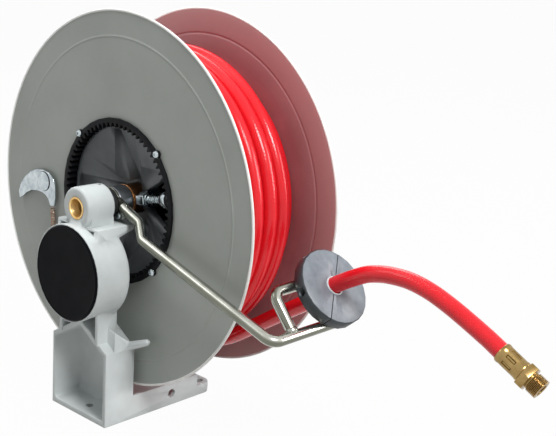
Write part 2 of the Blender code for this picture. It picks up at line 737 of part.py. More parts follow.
def disc_profile(face, inward, inner_radius):
    """A sheet disc's section: face is its outer face, inward is +1 where the sheet lies towards +x from it."""
    bead = DISC_BEAD_RADIUS
    half = DISC_BEAD_WIDTH / 2
    section = [(0.0, inner_radius), (0.0, bead - half), (-DISC_BEAD_HEIGHT, bead), (0.0, bead + half),
               (0.0, DISC_RADIUS - 2 * DISC_RIM), (-DISC_RIM / 2, DISC_RADIUS - DISC_RIM / 2),
               (DISC_SHEET, DISC_RADIUS), (DISC_SHEET, inner_radius)]
    return [(face + inward * x, radius) for x, radius in section]


def screw_angles():
    return [math.radians(45 + 90 * k) for k in range(4)]


def screw_holes(name, x0, x1, radius):
    return [rod(f"{name}_{k + 1}", x0, x1, radius, around(SCREW_CIRCLE, angle), 8)
            for k, angle in enumerate(screw_angles())]


def drum_pieces(drum_frame):
    near = turned("near_disc", disc_profile(0.0, 1, CORE_MOUTH), steps=DISC_ROUND)
    near.parent = drum_frame
    cut(near, *screw_holes("near_screw_hole", -0.01, 0.01, SCREW_RADIUS + GAP))
    cut(near, rod("pawl_rivet_hole", -0.01, 0.01, PAWL_RIVET + GAP, (PAWL_Y, PAWL_Z), 16),
        rod("spring_post_hole", -0.01, 0.01, SPRING_POST_NECK + GAP, spring_post_place(), 12))
    finish(near, "disc_grey", drum_frame)

    far_outer = DRUM_WIDTH + DISC_SHEET
    far = turned("far_disc", disc_profile(far_outer, -1, CORE_MOUTH), steps=DISC_ROUND)
    far.parent = drum_frame
    cut(far, *screw_holes("far_screw_hole", DRUM_WIDTH - 0.01, far_outer + 0.01, SCREW_RADIUS + GAP))
    finish(far, "disc_grey", drum_frame)

    start = DISC_SHEET + GAP
    end = DRUM_WIDTH - GAP
    mouth = RING_DEPTH + 0.0015
    core = turned("drum_core", [(start, CORE_MOUTH), (start, CORE_RADIUS), (end, CORE_RADIUS), (end, CORE_MOUTH),
                                (end - mouth, CORE_MOUTH), (end - mouth, CORE_BORE), (mouth, CORE_BORE),
                                (mouth, CORE_MOUTH)], steps=MID_ROUND)
    core.parent = drum_frame
    hole = SCREW_RADIUS + GAP
    cut(core, *screw_holes("near_pilot", start - 0.01, start + SCREW_LENGTH, hole))
    cut(core, *screw_holes("far_pilot", end - SCREW_LENGTH, end + 0.01, hole))
    cut(core, rod("feed_hole", 0.07, 0.12, HOSE_DIAMETER / 2 + GAP, frame_matrix=outlet_frame()))
    finish(core, "hub_black", drum_frame)

    hub_web(drum_frame)
    boss = AXLE_RADIUS + GAP + BUSH_WALL + GAP
    far_end = far_boss_end()
    far_start = SPRING_CASE_BACK + 0.003
    rim = CORE_BORE - GAP
    web = turned("far_web", [(far_start, boss), (far_start, boss + HUB_BOSS_WALL), (end - mouth - 0.006, rim),
                             (end - mouth - GAP, rim), (far_start + 0.009, boss + HUB_BOSS_WALL + 0.004),
                             (far_end, boss + HUB_BOSS_WALL), (far_end, boss)], steps=MID_ROUND)
    finish(web, "hub_black", drum_frame)
    for name, x0 in (("front_bush", bush_start()), ("rear_bush", far_end - BUSH_LENGTH)):
        bush = ring(name, x0, x0 + BUSH_LENGTH, AXLE_RADIUS + GAP, AXLE_RADIUS + GAP + BUSH_WALL)
        finish(bush, "bronze", drum_frame)

    ring_gear(drum_frame)
    for k, angle in enumerate(screw_angles()):
        seat = -RING_FACE - GAP
        head = [(seat - 0.0026, 0.0), (seat - 0.0026, SCREW_HEAD - 0.001), (seat, SCREW_HEAD), (seat, SCREW_RADIUS),
                (start + SCREW_LENGTH - GAP, SCREW_RADIUS), (start + SCREW_LENGTH - GAP, 0.0)]
        finish(turned(f"gear_screw_{k + 1}", head, around(SCREW_CIRCLE, angle), 10), "zinc_plate", drum_frame)
        seat = far_outer + GAP
        head = [(seat + 0.0026, 0.0), (seat + 0.0026, SCREW_HEAD - 0.001), (seat, SCREW_HEAD), (seat, SCREW_RADIUS),
                (end - SCREW_LENGTH + GAP, SCREW_RADIUS), (end - SCREW_LENGTH + GAP, 0.0)]
        finish(turned(f"far_screw_{k + 1}", head, around(SCREW_CIRCLE, angle), 8), "zinc_plate", drum_frame)

    case_radius = CORE_BORE - GAP
    case_bore = ARBOR_RADIUS - 0.002
    case = turned("spring_case", [
        (SPRING_CASE_FRONT, case_bore), (SPRING_CASE_FRONT, case_radius), (SPRING_CASE_BACK, case_radius),
        (SPRING_CASE_BACK, case_radius - 0.002), (SPRING_CASE_FRONT + 0.002, case_radius - 0.002),
        (SPRING_CASE_FRONT + 0.002, case_bore)], steps=MID_ROUND)
    finish(case, "spring_steel", drum_frame)
    cover = ring("spring_case_cover", SPRING_CASE_BACK + GAP, SPRING_CASE_BACK + GAP + 0.002, case_bore, case_radius,
                 steps=MID_ROUND)
    finish(cover, "spring_steel", drum_frame)
    power_spring(drum_frame, case_radius - 0.002)
    swivel(drum_frame)


def hub_web(drum_frame):
    """The dished hub: a cone from the drum's mouth to the boss, with lopsided ribs and a window for the feed hose."""
    boss = AXLE_RADIUS + GAP + BUSH_WALL + GAP
    rim = CORE_BORE - GAP
    front = RING_DEPTH + 0.0022
    end = bush_start() + BUSH_LENGTH
    face = bush_start()
    web = turned("hub_web", [(face, boss), (face, boss + HUB_BOSS_WALL), (front, rim - 0.003), (front, rim),
                             (front + 0.006, rim), (front + 0.006, rim - 0.002),
                             (face + 0.005, boss + HUB_BOSS_WALL), (end, boss + HUB_BOSS_WALL), (end, boss)],
                 steps=MID_ROUND)
    web.parent = drum_frame
    floor_start = boss + HUB_BOSS_WALL
    slope = (face - front) / (rim - 0.003 - floor_start)

    def over_floor(radius, degrees, lift):
        """A point that far in front of the cone."""
        return (face - (radius - floor_start) * slope - lift, *around(radius, math.radians(degrees)))

    for k, middle in enumerate(HUB_RIBS):
        rib = [over_floor(0.081, middle, 0.001), (face - HUB_RIB_HEIGHT, *around(floor_start, math.radians(middle)))]
        rib += [over_floor(radius, middle + turn, 0.0003) for radius, turn in ((0.040, -45), (0.026, 26), (0.080, 7))]
        rib += [over_floor(radius, middle + turn, -0.0025)
                for radius, turn in ((0.081, 0), (0.080, 7), (0.055, 12), (0.028, 26), (0.0235, 13), (0.0225, 0),
                                     (0.026, -20), (0.036, -36), (0.040, -45), (0.055, -22))]
        join(web, hull(f"rib_{k + 1}", rib))
    window = arc(rim - 0.006, math.radians(150), math.radians(197), 8)
    window += arc(boss + HUB_BOSS_WALL + 0.004, math.radians(197), math.radians(150), 6)
    cut(web, slab("feed_window", [window], "x", front - 0.01, face + 0.0045))
    cut(web, rod("nut_way", SLEEVE_RADIUS, TAIL_END - 0.019, NUT_FLATS / math.sqrt(3) + RUN_GAP,
                 frame_matrix=outlet_frame()))
    cut(web, rod("feed_way", TAIL_END - 0.02, CORE_RADIUS, HOSE_DIAMETER / 2 + RUN_GAP, frame_matrix=outlet_frame()))
    finish(web, "hub_black", drum_frame)


def ring_gear(drum_frame):
    pitch = MODULE * RING_TEETH / 2
    tip = pitch - 0.0020
    root = pitch + 0.0030
    phase = math.radians(-90) + math.pi / RING_TEETH
    teeth = gear_outline(RING_TEETH, tip, root, RING_TIP_WIDTH, RING_ROOT_WIDTH, phase)
    body_radius = CORE_MOUTH - GAP
    gear = turned("ring_gear", [(-RING_FACE, 0.0), (-RING_FACE, RING_RADIUS), (-GAP, RING_RADIUS), (-GAP, body_radius),
                                (RING_DEPTH, body_radius), (RING_DEPTH, 0.0)], steps=MID_ROUND)
    gear.parent = drum_frame
    for k, angle in enumerate(screw_angles()):
        ear = rod(f"gear_ear_{k + 1}", -RING_FACE + 0.0001, -GAP - 0.0001, SCREW_HEAD + 0.0005,
                  around(SCREW_CIRCLE, angle), 12)
        join(gear, ear)
    cut(gear, slab("tooth_spaces", [teeth], "x", -0.02, 0.02))
    cut(gear, *screw_holes("gear_screw_hole", -0.02, 0.01, SCREW_RADIUS + GAP))
    finish(gear, "hub_black", drum_frame)


def power_spring(drum_frame, case_inner):
    inner = ARBOR_RADIUS + RUN_GAP
    outer = case_inner - 0.002
    count = SPRING_COILS * 12
    forward, back = [], []
    for k in range(count + 1):
        angle = 2 * math.pi * SPRING_COILS * k / count
        radius = inner + (outer - inner) * k / count
        forward.append(around(radius, angle))
        back.append(around(radius + SPRING_STRIP, angle))
    strip = slab("power_spring", [forward + back[::-1]], "x", SPRING_CASE_FRONT + 0.0045, SPRING_CASE_BACK - 0.0025)
    finish(strip, "spring_steel", drum_frame)


def swivel(drum_frame):
    start = swivel_start()
    end = start + SWIVEL_LENGTH
    bore = AXLE_RADIUS + GAP
    outlet = outlet_frame()
    body = turned("swivel_body", [(start, bore), (start, SLEEVE_RADIUS), (end - 0.001, SLEEVE_RADIUS),
                                  (end, SLEEVE_RADIUS - 0.001), (end, bore)])
    body.parent = drum_frame
    spout_end = SLEEVE_RADIUS + 0.0025
    join(body, rod("spout", bore + 0.002, spout_end, 0.006, frame_matrix=outlet))
    cut(body, rod("spout_bore", 0.005, spout_end + 0.01, 0.004, steps=16, frame_matrix=outlet))
    finish(body, "bronze", drum_frame)
    nut_start = spout_end + GAP
    nut_end = nut_start + NUT_LENGTH
    nut = hexagon("swivel_nut", outlet, nut_start, nut_end, NUT_FLATS)
    nut.parent = drum_frame
    cut(nut, rod("swivel_nut_bore", nut_start - 0.01, nut_end + 0.01, 0.004, steps=16, frame_matrix=outlet))
    finish(nut, "zinc_plate", drum_frame)
    tail_start = nut_end + GAP
    hose_start = TAIL_END - 0.013
    barb = TAIL_RADIUS
    profile = [(tail_start, 0.003), (tail_start, barb + 0.001), (tail_start + 0.002, barb + 0.001),
               (tail_start + 0.003, barb - 0.001)]
    edge = tail_start + 0.005
    while edge < hose_start - 0.004:
        profile += [(edge, barb - 0.001), (edge + 0.005, barb - 0.0002), (edge + 0.0052, barb - 0.001)]
        edge += 0.007
    profile += [(TAIL_END, barb - 0.0012), (TAIL_END, 0.003)]
    finish(turned("hose_tail", profile, steps=16, frame_matrix=outlet), "zinc_plate", drum_frame)
    feed = ring("feed_hose", hose_start, CORE_RADIUS - 0.001, barb + GAP, HOSE_DIAMETER / 2, steps=20,
                frame_matrix=outlet)
    finish(feed, "feed_black", drum_frame)
    clamp = ring("tail_clamp", hose_start + 0.004, hose_start + 0.010, HOSE_DIAMETER / 2 + GAP,
                 HOSE_DIAMETER / 2 + 0.0015, steps=24, frame_matrix=outlet)
    finish(clamp, "zinc_plate", drum_frame)


def wound_hose(drum_frame):
    start_x = DISC_SHEET + HOSE_DIAMETER / 2 + 0.0025
    core_outer = WOUND_RADIUS * math.cos(math.pi / LOOP_POINTS) - HOSE_DIAMETER / 2 - WOUND_LAYER_GAP
    core = ring("wound_core", DISC_SHEET + 0.0015, DRUM_WIDTH - 0.0015, CORE_RADIUS + GAP, core_outer, steps=MID_ROUND)
    finish(core, "hose_red", drum_frame)
    first = math.radians(-112)
    points = []
    steps = WOUND_TURNS * LOOP_POINTS
    for k in range(steps + 1):
        angle = first + 2 * math.pi * (WOUND_TURNS - k / LOOP_POINTS)
        points.append(Vector((start_x + WOUND_PITCH * k / LOOP_POINTS, *around(WOUND_RADIUS, angle))))
    for end, before, place in ((0, 1, 0), (-1, -2, len(points) + 1)):
        along = (points[end] - points[before]).normalized()
        angle = math.atan2(points[end].z, points[end].y)
        tangent = Vector((along.x, -math.sin(angle), math.cos(angle)))
        if tangent.dot(along) < 0:
            tangent = Vector((along.x, math.sin(angle), -math.cos(angle)))
        points.insert(place, points[end] + tangent.normalized() * HOSE_DIAMETER)
    finish(tube("wound_hose", points, HOSE_DIAMETER / 2, 1), "hose_red", drum_frame)
    clear = min((a - b).length for i, a in enumerate(points) for b in points[i + LOOP_POINTS // 2:])
    print(f"wound_hose: least gap between turns {1000 * (clear - HOSE_DIAMETER):.2f} mm")


# Pawl

def spring_post_place():
    return PAWL_Y - 0.0225, -0.086


def pawl_pieces(drum_frame, pawl_frame):
    washer = ring("pawl_washer", -GAP - PAWL_WASHER, -GAP, PAWL_RIVET + GAP, 0.0075, (PAWL_Y, PAWL_Z), 24)
    finish(washer, "zinc_plate", drum_frame)
    head = -2 * GAP - PAWL_WASHER - PAWL_THICKNESS - GAP
    dome = [(head - PAWL_HEAD * rise, PAWL_HEAD_RADIUS * reach)
            for rise, reach in ((1.0, 0.0), (0.93, 0.35), (0.72, 0.65), (0.4, 0.88), (0.0, 1.0))]
    rivet = turned("pawl_rivet", [*dome, (head, PAWL_RIVET), (DISC_SHEET, PAWL_RIVET), (DISC_SHEET, 0.0)],
                   (PAWL_Y, PAWL_Z), 28)
    finish(rivet, "zinc_plate", drum_frame)
    outline = [PAWL_ARM_EDGE[1], (0.1085, -0.018), (0.1095, -0.005), (0.113, 0.003), (0.122, 0.009),
               (0.134, 0.0105), (0.146, 0.009), (0.158, 0.004), (0.169, -0.004), (0.178, -0.014), (0.183, -0.025),
               (0.181, -0.034), (0.175, -0.031), (0.167, -0.0245), (0.157, -0.0195), (0.146, -0.0175),
               (0.136, -0.0175), (0.128, -0.0195), (0.1225, -0.0235), PAWL_ARM_EDGE[0]]
    local = [(y - PAWL_Y, z - PAWL_Z) for y, z in outline]
    blade = slab("pawl", [local], "x", -2 * GAP - PAWL_WASHER - PAWL_THICKNESS, -2 * GAP - PAWL_WASHER)
    blade.parent = pawl_frame
    cut(blade, rod("pawl_hole", -0.02, 0.01, PAWL_RIVET + GAP, (0.0, 0.0), 24))
    finish(blade, "zinc_plate", pawl_frame)

    post_y, post_z = spring_post_place()
    middle_x = -2 * GAP - PAWL_WASHER - PAWL_THICKNESS / 2
    neck = SPRING_POST_NECK
    post = turned("spring_post", [(middle_x - 0.003, 0.0), (middle_x - 0.003, neck + 0.001),
                                  (middle_x - 0.0022, neck + 0.001), (middle_x - 0.0022, neck), (DISC_SHEET, neck),
                                  (DISC_SHEET, 0.0)],
                  (post_y, post_z), 12)
    finish(post, "zinc_plate", drum_frame)
    arm_y = (PAWL_ARM_EDGE[0][0] + PAWL_ARM_EDGE[1][0]) / 2
    arm_z = (PAWL_ARM_EDGE[0][1] + PAWL_ARM_EDGE[1][1]) / 2
    top = Vector((middle_x, arm_y, arm_z - GAP - PAWL_SPRING_WIRE / 8))
    bottom = Vector((middle_x, post_y, post_z + SPRING_POST_NECK + GAP))
    axis = (bottom - top).normalized()
    lead = axis * PAWL_SPRING_LEAD
    points = [top, top + lead * 0.8]
    steps = PAWL_SPRING_COILS * 8
    for k in range(steps + 1):
        centre = (top + lead).lerp(bottom - lead, k / steps)
        angle = 2 * math.pi * PAWL_SPRING_COILS * k / steps
        spoke = Vector((math.cos(angle), math.sin(angle), 0.0)) * PAWL_SPRING_RADIUS
        points.append(centre + spoke)
    points += [bottom - lead * 0.8, bottom]
    finish(tube("pawl_spring", points, PAWL_SPRING_WIRE / 2, 1), "bronze", drum_frame)


# Guide arm

def stop_axis():
    return Vector((0.0, -math.cos(STOP_TILT), math.sin(STOP_TILT)))


def loop_rise():
    return Vector((0.0, math.sin(STOP_TILT), math.cos(STOP_TILT)))


def stop_back():
    """The centre of the stop's back face, resting on the guide loop."""
    along = Vector((STOP_X, LOOP_Y, LOOP_Z)) + loop_rise() * STOP_RISE
    return along + stop_axis() * (ROD_RADIUS + GAP)


def guide_arm(arm_frame):
    collar_x = plate_start() + PLATE_THICKNESS / 2
    corner = (ARM_PLANE, LOOP_Y, LOOP_Z)
    rise = loop_rise() * LOOP_HEIGHT
    foot_left = Vector((LOOP_LEFT, LOOP_Y, LOOP_Z))
    foot_right = Vector((LOOP_RIGHT, LOOP_Y, LOOP_Z))
    main = rounded_path([(collar_x, -PLATE_RADIUS - 0.0047, -0.0012), (collar_x, -0.0516, -0.0123),
                         (ARM_PLANE, -0.068, -0.0262), corner, foot_right, foot_right + rise, foot_left + rise,
                         foot_left - loop_rise() * 0.001], 0.011, 4)
    arm = to_mesh(tube("guide_arm", main, ROD_RADIUS, 3))
    arm.parent = arm_frame
    plate = rod("arm_plate", plate_start(), plate_start() + PLATE_THICKNESS, PLATE_RADIUS, steps=ROUND)
    join(arm, plate)
    tab = slab("plate_tab", [[(-0.012, 0.010), (-0.030, 0.0035), (-0.033, -0.006), (-0.0245, -0.015), (-0.014, -0.015),
                                (-0.009, -0.012)]],
               "x", plate_start() + 0.0001, plate_start() + PLATE_THICKNESS - 0.0001)
    join(arm, tab)
    cut(arm, rod("plate_bore", plate_start() - 0.02, plate_start() + 0.02, AXLE_RADIUS + GAP, steps=ROUND))
    cut(arm, rod("lock_hole", plate_start() - 0.01, plate_start() + 0.01, LOCK_BOLT + GAP, LOCK_PLACE, 12))
    finish(arm, "zinc_plate", arm_frame)
    seat = plate_start() - GAP
    bolt = turned("arm_lock_bolt", [(seat - 0.0027, 0.0), (seat - 0.0027, 0.003), (seat - 0.0018, 0.0038),
                                    (seat, 0.0038), (seat, LOCK_BOLT), (seat + 0.006, LOCK_BOLT), (seat + 0.006, 0.0)],
                  LOCK_PLACE, 12)
    finish(bolt, "zinc_plate", arm_frame)


def hose_stop(arm_frame):
    back = stop_back()
    axis = stop_axis()
    place = facing(back, axis)
    split = place @ Matrix.Rotation(STOP_SPLIT_TILT, 4, "X")
    screw_frames = [facing(split @ Vector((STOP_THICKNESS / 2, -0.06, height)),
                           split.to_3x3() @ Vector((0.0, 1.0, 0.0))) for height in (STOP_SCREW_SPREAD, -STOP_SCREW_SPREAD)]
    hole = HOSE_DIAMETER / 2 + GAP
    gap = 0.0005
    for name, side in (("stop_half_near", 1), ("stop_half_far", -1)):
        half = turned(name, [(0.0, hole), (0.0, STOP_RADIUS - 0.001), (0.001, STOP_RADIUS),
                             (STOP_THICKNESS - 0.001, STOP_RADIUS), (STOP_THICKNESS, STOP_RADIUS - 0.001),
                             (STOP_THICKNESS, hole)], frame_matrix=place)
        half.parent = arm_frame
        low, high = sorted((side * gap, side * -0.1))
        splitter = box(f"{name}_split", (-0.02, low, -0.1), (0.04, high, 0.1))
        splitter.data.transform(split)
        cut(half, splitter)
        for k, frame in enumerate(screw_frames):
            cut(half, rod(f"{name}_screw_way_{k}", 0.0, 0.12, 0.0022 + GAP, steps=12, frame_matrix=frame))
            if side < 0:
                cut(half, rod(f"{name}_head_way_{k}", 0.0, STOP_HEAD_DEPTH + 0.0035, 0.0042, steps=16,
                              frame_matrix=frame))
        finish(half, "stop_face", arm_frame)
    for name, frame in zip(("stop_screw_upper", "stop_screw_lower"), screw_frames):
        seat = STOP_HEAD_DEPTH + 0.0032
        screw = turned(name, [(STOP_HEAD_DEPTH, 0.0), (STOP_HEAD_DEPTH, 0.0038), (seat, 0.0038), (seat, 0.0022),
                              (0.088, 0.0022), (0.088, 0.0)], steps=16, frame_matrix=frame)
        finish(screw, "zinc_plate", arm_frame)


def strand_route():
    """From the lowest wound layer's outside, round the drum's underside and out to the stop, as (x, y, z)."""
    clear = WOUND_RADIUS + HOSE_DIAMETER + 2 * RUN_GAP
    axis = stop_axis()
    wrap = [Vector((0.110 - 0.0012 * k, *around(clear, math.radians(-62 - 8 * k)))) for k in range(6)]
    leaving = [Vector((x, *around(clear * lift, math.radians(angle)))) for x, lift, angle in STRAND_LEAVING]
    entry = stop_back() - axis * HOSE_DIAMETER
    run = []
    for share in STRAND_SHARES:
        point = leaving[-1].lerp(entry, share)
        point.x = entry.x + (leaving[-1].x - entry.x) * (1 - share) ** 2
        run.append(point)
    return [*wrap, *leaving, *run, entry, stop_back() + axis * (STOP_THICKNESS / 2 - GAP)]


FREE_ROUTE = [
    (0.0790, -0.2960, -0.0243), (0.0792, -0.3135, -0.0168), (0.0795, -0.3310, -0.0126), (0.0800, -0.3545, -0.0110),
    (0.0805, -0.3785, -0.0150), (0.0812, -0.4023, -0.0248), (0.0820, -0.4260, -0.0374), (0.0828, -0.4433, -0.0466),
]
FITTING_START = (0.0838, -0.4621, -0.0566)
FITTING_AIM = (0.0860, -0.5057, -0.0804)


def outlet(arm_frame):
    back = stop_back()
    axis = stop_axis()
    start = back + axis * (STOP_THICKNESS / 2)
    aim = (Vector(FITTING_AIM) - Vector(FITTING_START)).normalized()
    strand = tube("hose_strand", smooth_path(strand_route(), 0.02), HOSE_DIAMETER / 2, 3)
    finish(strand, "hose_red", arm_frame)
    route = [start, start + axis * 0.012, *FREE_ROUTE, Vector(FITTING_START) - aim * 0.018,
             Vector(FITTING_START) - aim * GAP]
    free = tube("hose_free", smooth_path(route, 0.02), HOSE_DIAMETER / 2, 3)
    finish(free, "hose_red", arm_frame)
    place = facing(FITTING_START, aim)
    ferrule = turned("hose_ferrule", [
        (0.0, 0.0), (0.0, FERRULE_RADIUS - 0.0008), (0.002, FERRULE_RADIUS), (0.007, FERRULE_RADIUS - 0.0002),
        (0.009, FERRULE_RADIUS - 0.001), (0.012, FERRULE_RADIUS - 0.0002), (0.018, FERRULE_RADIUS - 0.0002),
        (0.020, FERRULE_RADIUS - 0.001), (0.023, FERRULE_RADIUS), (FERRULE_LENGTH, FERRULE_RADIUS - 0.0005),
        (FERRULE_LENGTH, 0.0)], steps=24, frame_matrix=place)
    finish(ferrule, "brass", arm_frame)
    hex_start = FERRULE_LENGTH + GAP
    hex_end = hex_start + FITTING_HEX_LENGTH
    fitting = hexagon("outlet_fitting", place, hex_start, hex_end, FITTING_FLATS)
    fitting.parent = arm_frame
    thread = turned("fitting_thread", [(hex_end - 0.002, 0.0), (hex_end - 0.002, THREAD_RADIUS - 0.0012),
                                       (hex_end + 0.0015, THREAD_RADIUS - 0.0012), (hex_end + 0.0025, THREAD_RADIUS),
                                       (hex_end + THREAD_LENGTH - 0.001, THREAD_RADIUS),
                                       (hex_end + THREAD_LENGTH, THREAD_RADIUS - 0.001),
                                       (hex_end + THREAD_LENGTH, 0.0)], steps=24, frame_matrix=place)
    join(fitting, thread)
    cut(fitting, rod("fitting_bore", hex_start + 0.004, hex_end + THREAD_LENGTH + 0.01, FITTING_BORE,
                     frame_matrix=place))
    finish(fitting, "brass", arm_frame)


def main():
    clear_scene()
    make_materials()
    centre = (NEAR_FACE_X, 0.0, AXLE_HEIGHT)
    axle_frame = empty("axle_line", centre)
    drum_frame = empty("drum_axis", centre)
    arm_frame = empty("arm_axis", centre)
    brake_place = (NEAR_FACE_X, 0.0, AXLE_HEIGHT - BRAKE_DROP)
    brake_frame = empty("brake_axis", brake_place)
    shoe_frames = [empty("shoe_a_slide", brake_place), empty("shoe_b_slide", brake_place)]
    pawl_frame = empty("pawl_axis", (NEAR_FACE_X, PAWL_Y, AXLE_HEIGHT + PAWL_Z))
    casting(axle_frame)
    stand_pieces(axle_frame)
    brake_pieces(axle_frame, brake_frame, shoe_frames)
    drum_pieces(drum_frame)
    wound_hose(drum_frame)
    pawl_pieces(drum_frame, pawl_frame)
    guide_arm(arm_frame)
    hose_stop(arm_frame)
    outlet(arm_frame)


main()
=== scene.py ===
import json
import math

import bmesh
import bpy
from mathutils import Matrix, Vector
from mathutils.bvhtree import BVHTree

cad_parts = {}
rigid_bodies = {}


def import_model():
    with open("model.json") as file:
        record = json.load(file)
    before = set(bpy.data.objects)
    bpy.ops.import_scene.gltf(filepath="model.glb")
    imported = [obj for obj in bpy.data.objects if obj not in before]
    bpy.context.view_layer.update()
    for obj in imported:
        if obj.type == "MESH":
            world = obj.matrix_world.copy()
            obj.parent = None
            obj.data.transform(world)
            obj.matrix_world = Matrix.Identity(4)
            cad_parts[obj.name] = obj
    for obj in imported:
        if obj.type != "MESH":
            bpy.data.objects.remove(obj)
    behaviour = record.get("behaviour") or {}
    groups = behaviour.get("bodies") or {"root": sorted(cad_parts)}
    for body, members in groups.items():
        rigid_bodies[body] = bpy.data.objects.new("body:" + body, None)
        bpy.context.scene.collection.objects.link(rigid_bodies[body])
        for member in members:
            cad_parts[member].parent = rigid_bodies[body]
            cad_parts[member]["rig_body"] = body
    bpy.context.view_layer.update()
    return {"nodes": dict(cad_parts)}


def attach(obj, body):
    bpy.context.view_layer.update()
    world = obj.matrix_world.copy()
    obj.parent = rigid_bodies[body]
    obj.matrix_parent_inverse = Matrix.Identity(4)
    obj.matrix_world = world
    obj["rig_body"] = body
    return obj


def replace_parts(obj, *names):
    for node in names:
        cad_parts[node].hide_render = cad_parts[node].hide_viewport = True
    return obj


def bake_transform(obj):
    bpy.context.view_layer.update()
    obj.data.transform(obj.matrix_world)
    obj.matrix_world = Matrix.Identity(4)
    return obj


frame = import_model()

# Sizes are in metres. Places on the reel count from CENTRE, where the drum's near face meets the axle line:
# x runs along the axle towards the far disc, and z is up
CENTRE = Vector((-0.034, 0.0, 0.2486))
GAP = 0.0003

# Camera
CAMERA_PLACE = (-0.8292, -0.9547, 0.5705)
CAMERA_AZIMUTH = math.radians(-48.282)
CAMERA_ELEVATION = math.radians(15.001)
CAMERA_ROLL = math.radians(3.808)
CAMERA_LENS = 72.456
CAMERA_SENSOR = 36

# Rounded edges
ROUNDING_ATTEMPTS = 5
SMALLEST_FACE = 5e-8
MERGED = 1e-7
NODE_MERGED = 2e-6

# Discs and hub
DISC_RADIUS = 0.215
DISC_SHEET = 0.002
DISC_MIDDLE = 0.14
DISC_MOUTH = 0.091
DRUM_WIDTH = 0.1312
CORE_RADIUS = 0.1005
BEAD_RADIUS = 0.185
BEAD_HEIGHT = 0.0004
BEAD_WIDTH = 0.0028
RIM_ROLL = 0.0015
RING_FACE = 0.0033
SCREWS = 4
SCREW_CIRCLE = 0.0945
SCREW_HEAD = 0.0042
SCREW_DOME = 0.0026
SCREW_SOCKET = 0.0016
SCREW_SHANK = 0.002
SCREW_LENGTH = 0.004

# Hose
HOSE_RADIUS = 0.009
BRAID_THREADS = 14
BRAID_LAY = 0.004
BRAID_DEPTH = 0.00003

# Wound hose
WOUND_RADIUS = 0.1655
WOUND_PITCH = 0.0195
WOUND_TURNS = 5
WOUND_STEPS = 72
WOUND_SIDE_GAP = 0.0025
WOUND_START = DISC_SHEET + HOSE_RADIUS + WOUND_SIDE_GAP
WOUND_FIRST = math.radians(-112)
WOUND_SINK = 0.0008
WAVER = 0.0007
SLOW_WAVER = 0.0006
TUCK_DEPTH = 0.010
TUCK_STEPS = 14
FIRST_TUCK = 10
LAST_TUCK = 20
INNER_SIDE_GAP = 0.0008
INNER_RIBS = 7
INNER_VALLEY = WOUND_RADIUS - 0.0200
INNER_RIB = 0.0088

# Strand from the winding to the stop, with its angles in degrees
STRAND_FIRST = -62
STRAND_STEP = 8
STRAND_CLEARANCE = 0.001
STRAND_X = 0.110
STRAND_LEAN = 0.0012
STRAND_TUCK = 0.0225

# Axle line
BOSS_FACE = -0.058
AXLE_RADIUS = 0.0125
INLET_DEPTH = 0.014
INLET_PROUD = 0.0003
INLET_MOUTH = 0.0106
INLET_ROOT = 0.0102
INLET_CREST = 0.0098
INLET_BORE = 0.0096
PLATE_START = -0.0115
PLATE_THICKNESS = 0.0026
SLEEVE_START = -0.0086
SLEEVE_LENGTH = 0.0183
SLEEVE_RADIUS = 0.0178
SWIVEL_START = 0.0121
SWIVEL_LENGTH = 0.019
OUTLET_TILT = math.radians(11)
OUTLET_SHIFT = 0.003
TAIL_START = 0.0334
TAIL_END = 0.073
TAIL_PLAIN = 0.018
TAIL_COLLAR = 0.0075
TAIL_RADIUS = 0.0048
TAIL_BORE = 0.003
BARB_RADIUS = 0.0062
BARB_PITCH = 0.0068

# Brake housing
BRAKE_DROP = 0.0732
CAP_FACE = -0.0705
CAP_RADIUS = 0.0538
CAP_BEAD = 0.0003
CAP_SEAT = -0.0663
CAP_SPIGOT = 0.048
CAP_SPIGOT_END = -0.062

# Pawl
PAWL_PLACE = (0.1315, -0.003)
PAWL_MIDDLE = -0.0043
RIVET_SEAT = -0.0059
RIVET_HEAD = 0.003
RIVET_RADIUS = 0.0122
RIVET_EDGE = 0.0006
RIVET_SHANK = 0.003
RIVET_LENGTH = 0.0079
SPRING_TOP = (0.1145, -0.03095)
SPRING_FOOT = (0.109, -0.0842)
SPRING_LEAD = 0.003
SPRING_COILS = 21
COIL_POINTS = 20
SPRING_RADIUS = 0.0028
SPRING_WIRE = 0.0006

# Guide arm
ROD_RADIUS = 0.006
ROD_BEND = 0.011
STREAKS = 2
STREAK_LENGTH = 0.12
ARM_PLANE = -0.020
LOOP_Y = -0.2671
LOOP_Z = -0.0843
LOOP_LEFT = 0.012
LOOP_RIGHT = 0.106
LOOP_HEIGHT = 0.0495
WELD_RISE = 0.0055
WELD_LENGTH = 0.007
WELD_RADIUS = 0.0072

# Hose stop
STOP_TILT = math.radians(41.1)
STOP_THICKNESS = 0.0144
STOP_X = 0.079
STOP_RISE = 0.033
STRAIGHT_IN = 0.018
STRAIGHT_OUT = 0.012
COLLAR_BORE = HOSE_RADIUS + 0.0004
COLLAR_SINK = 0.0004
COLLAR_PROUD = 0.0012
COLLAR_RADIUS = 0.0109
COLLAR_TAPER = 0.0004

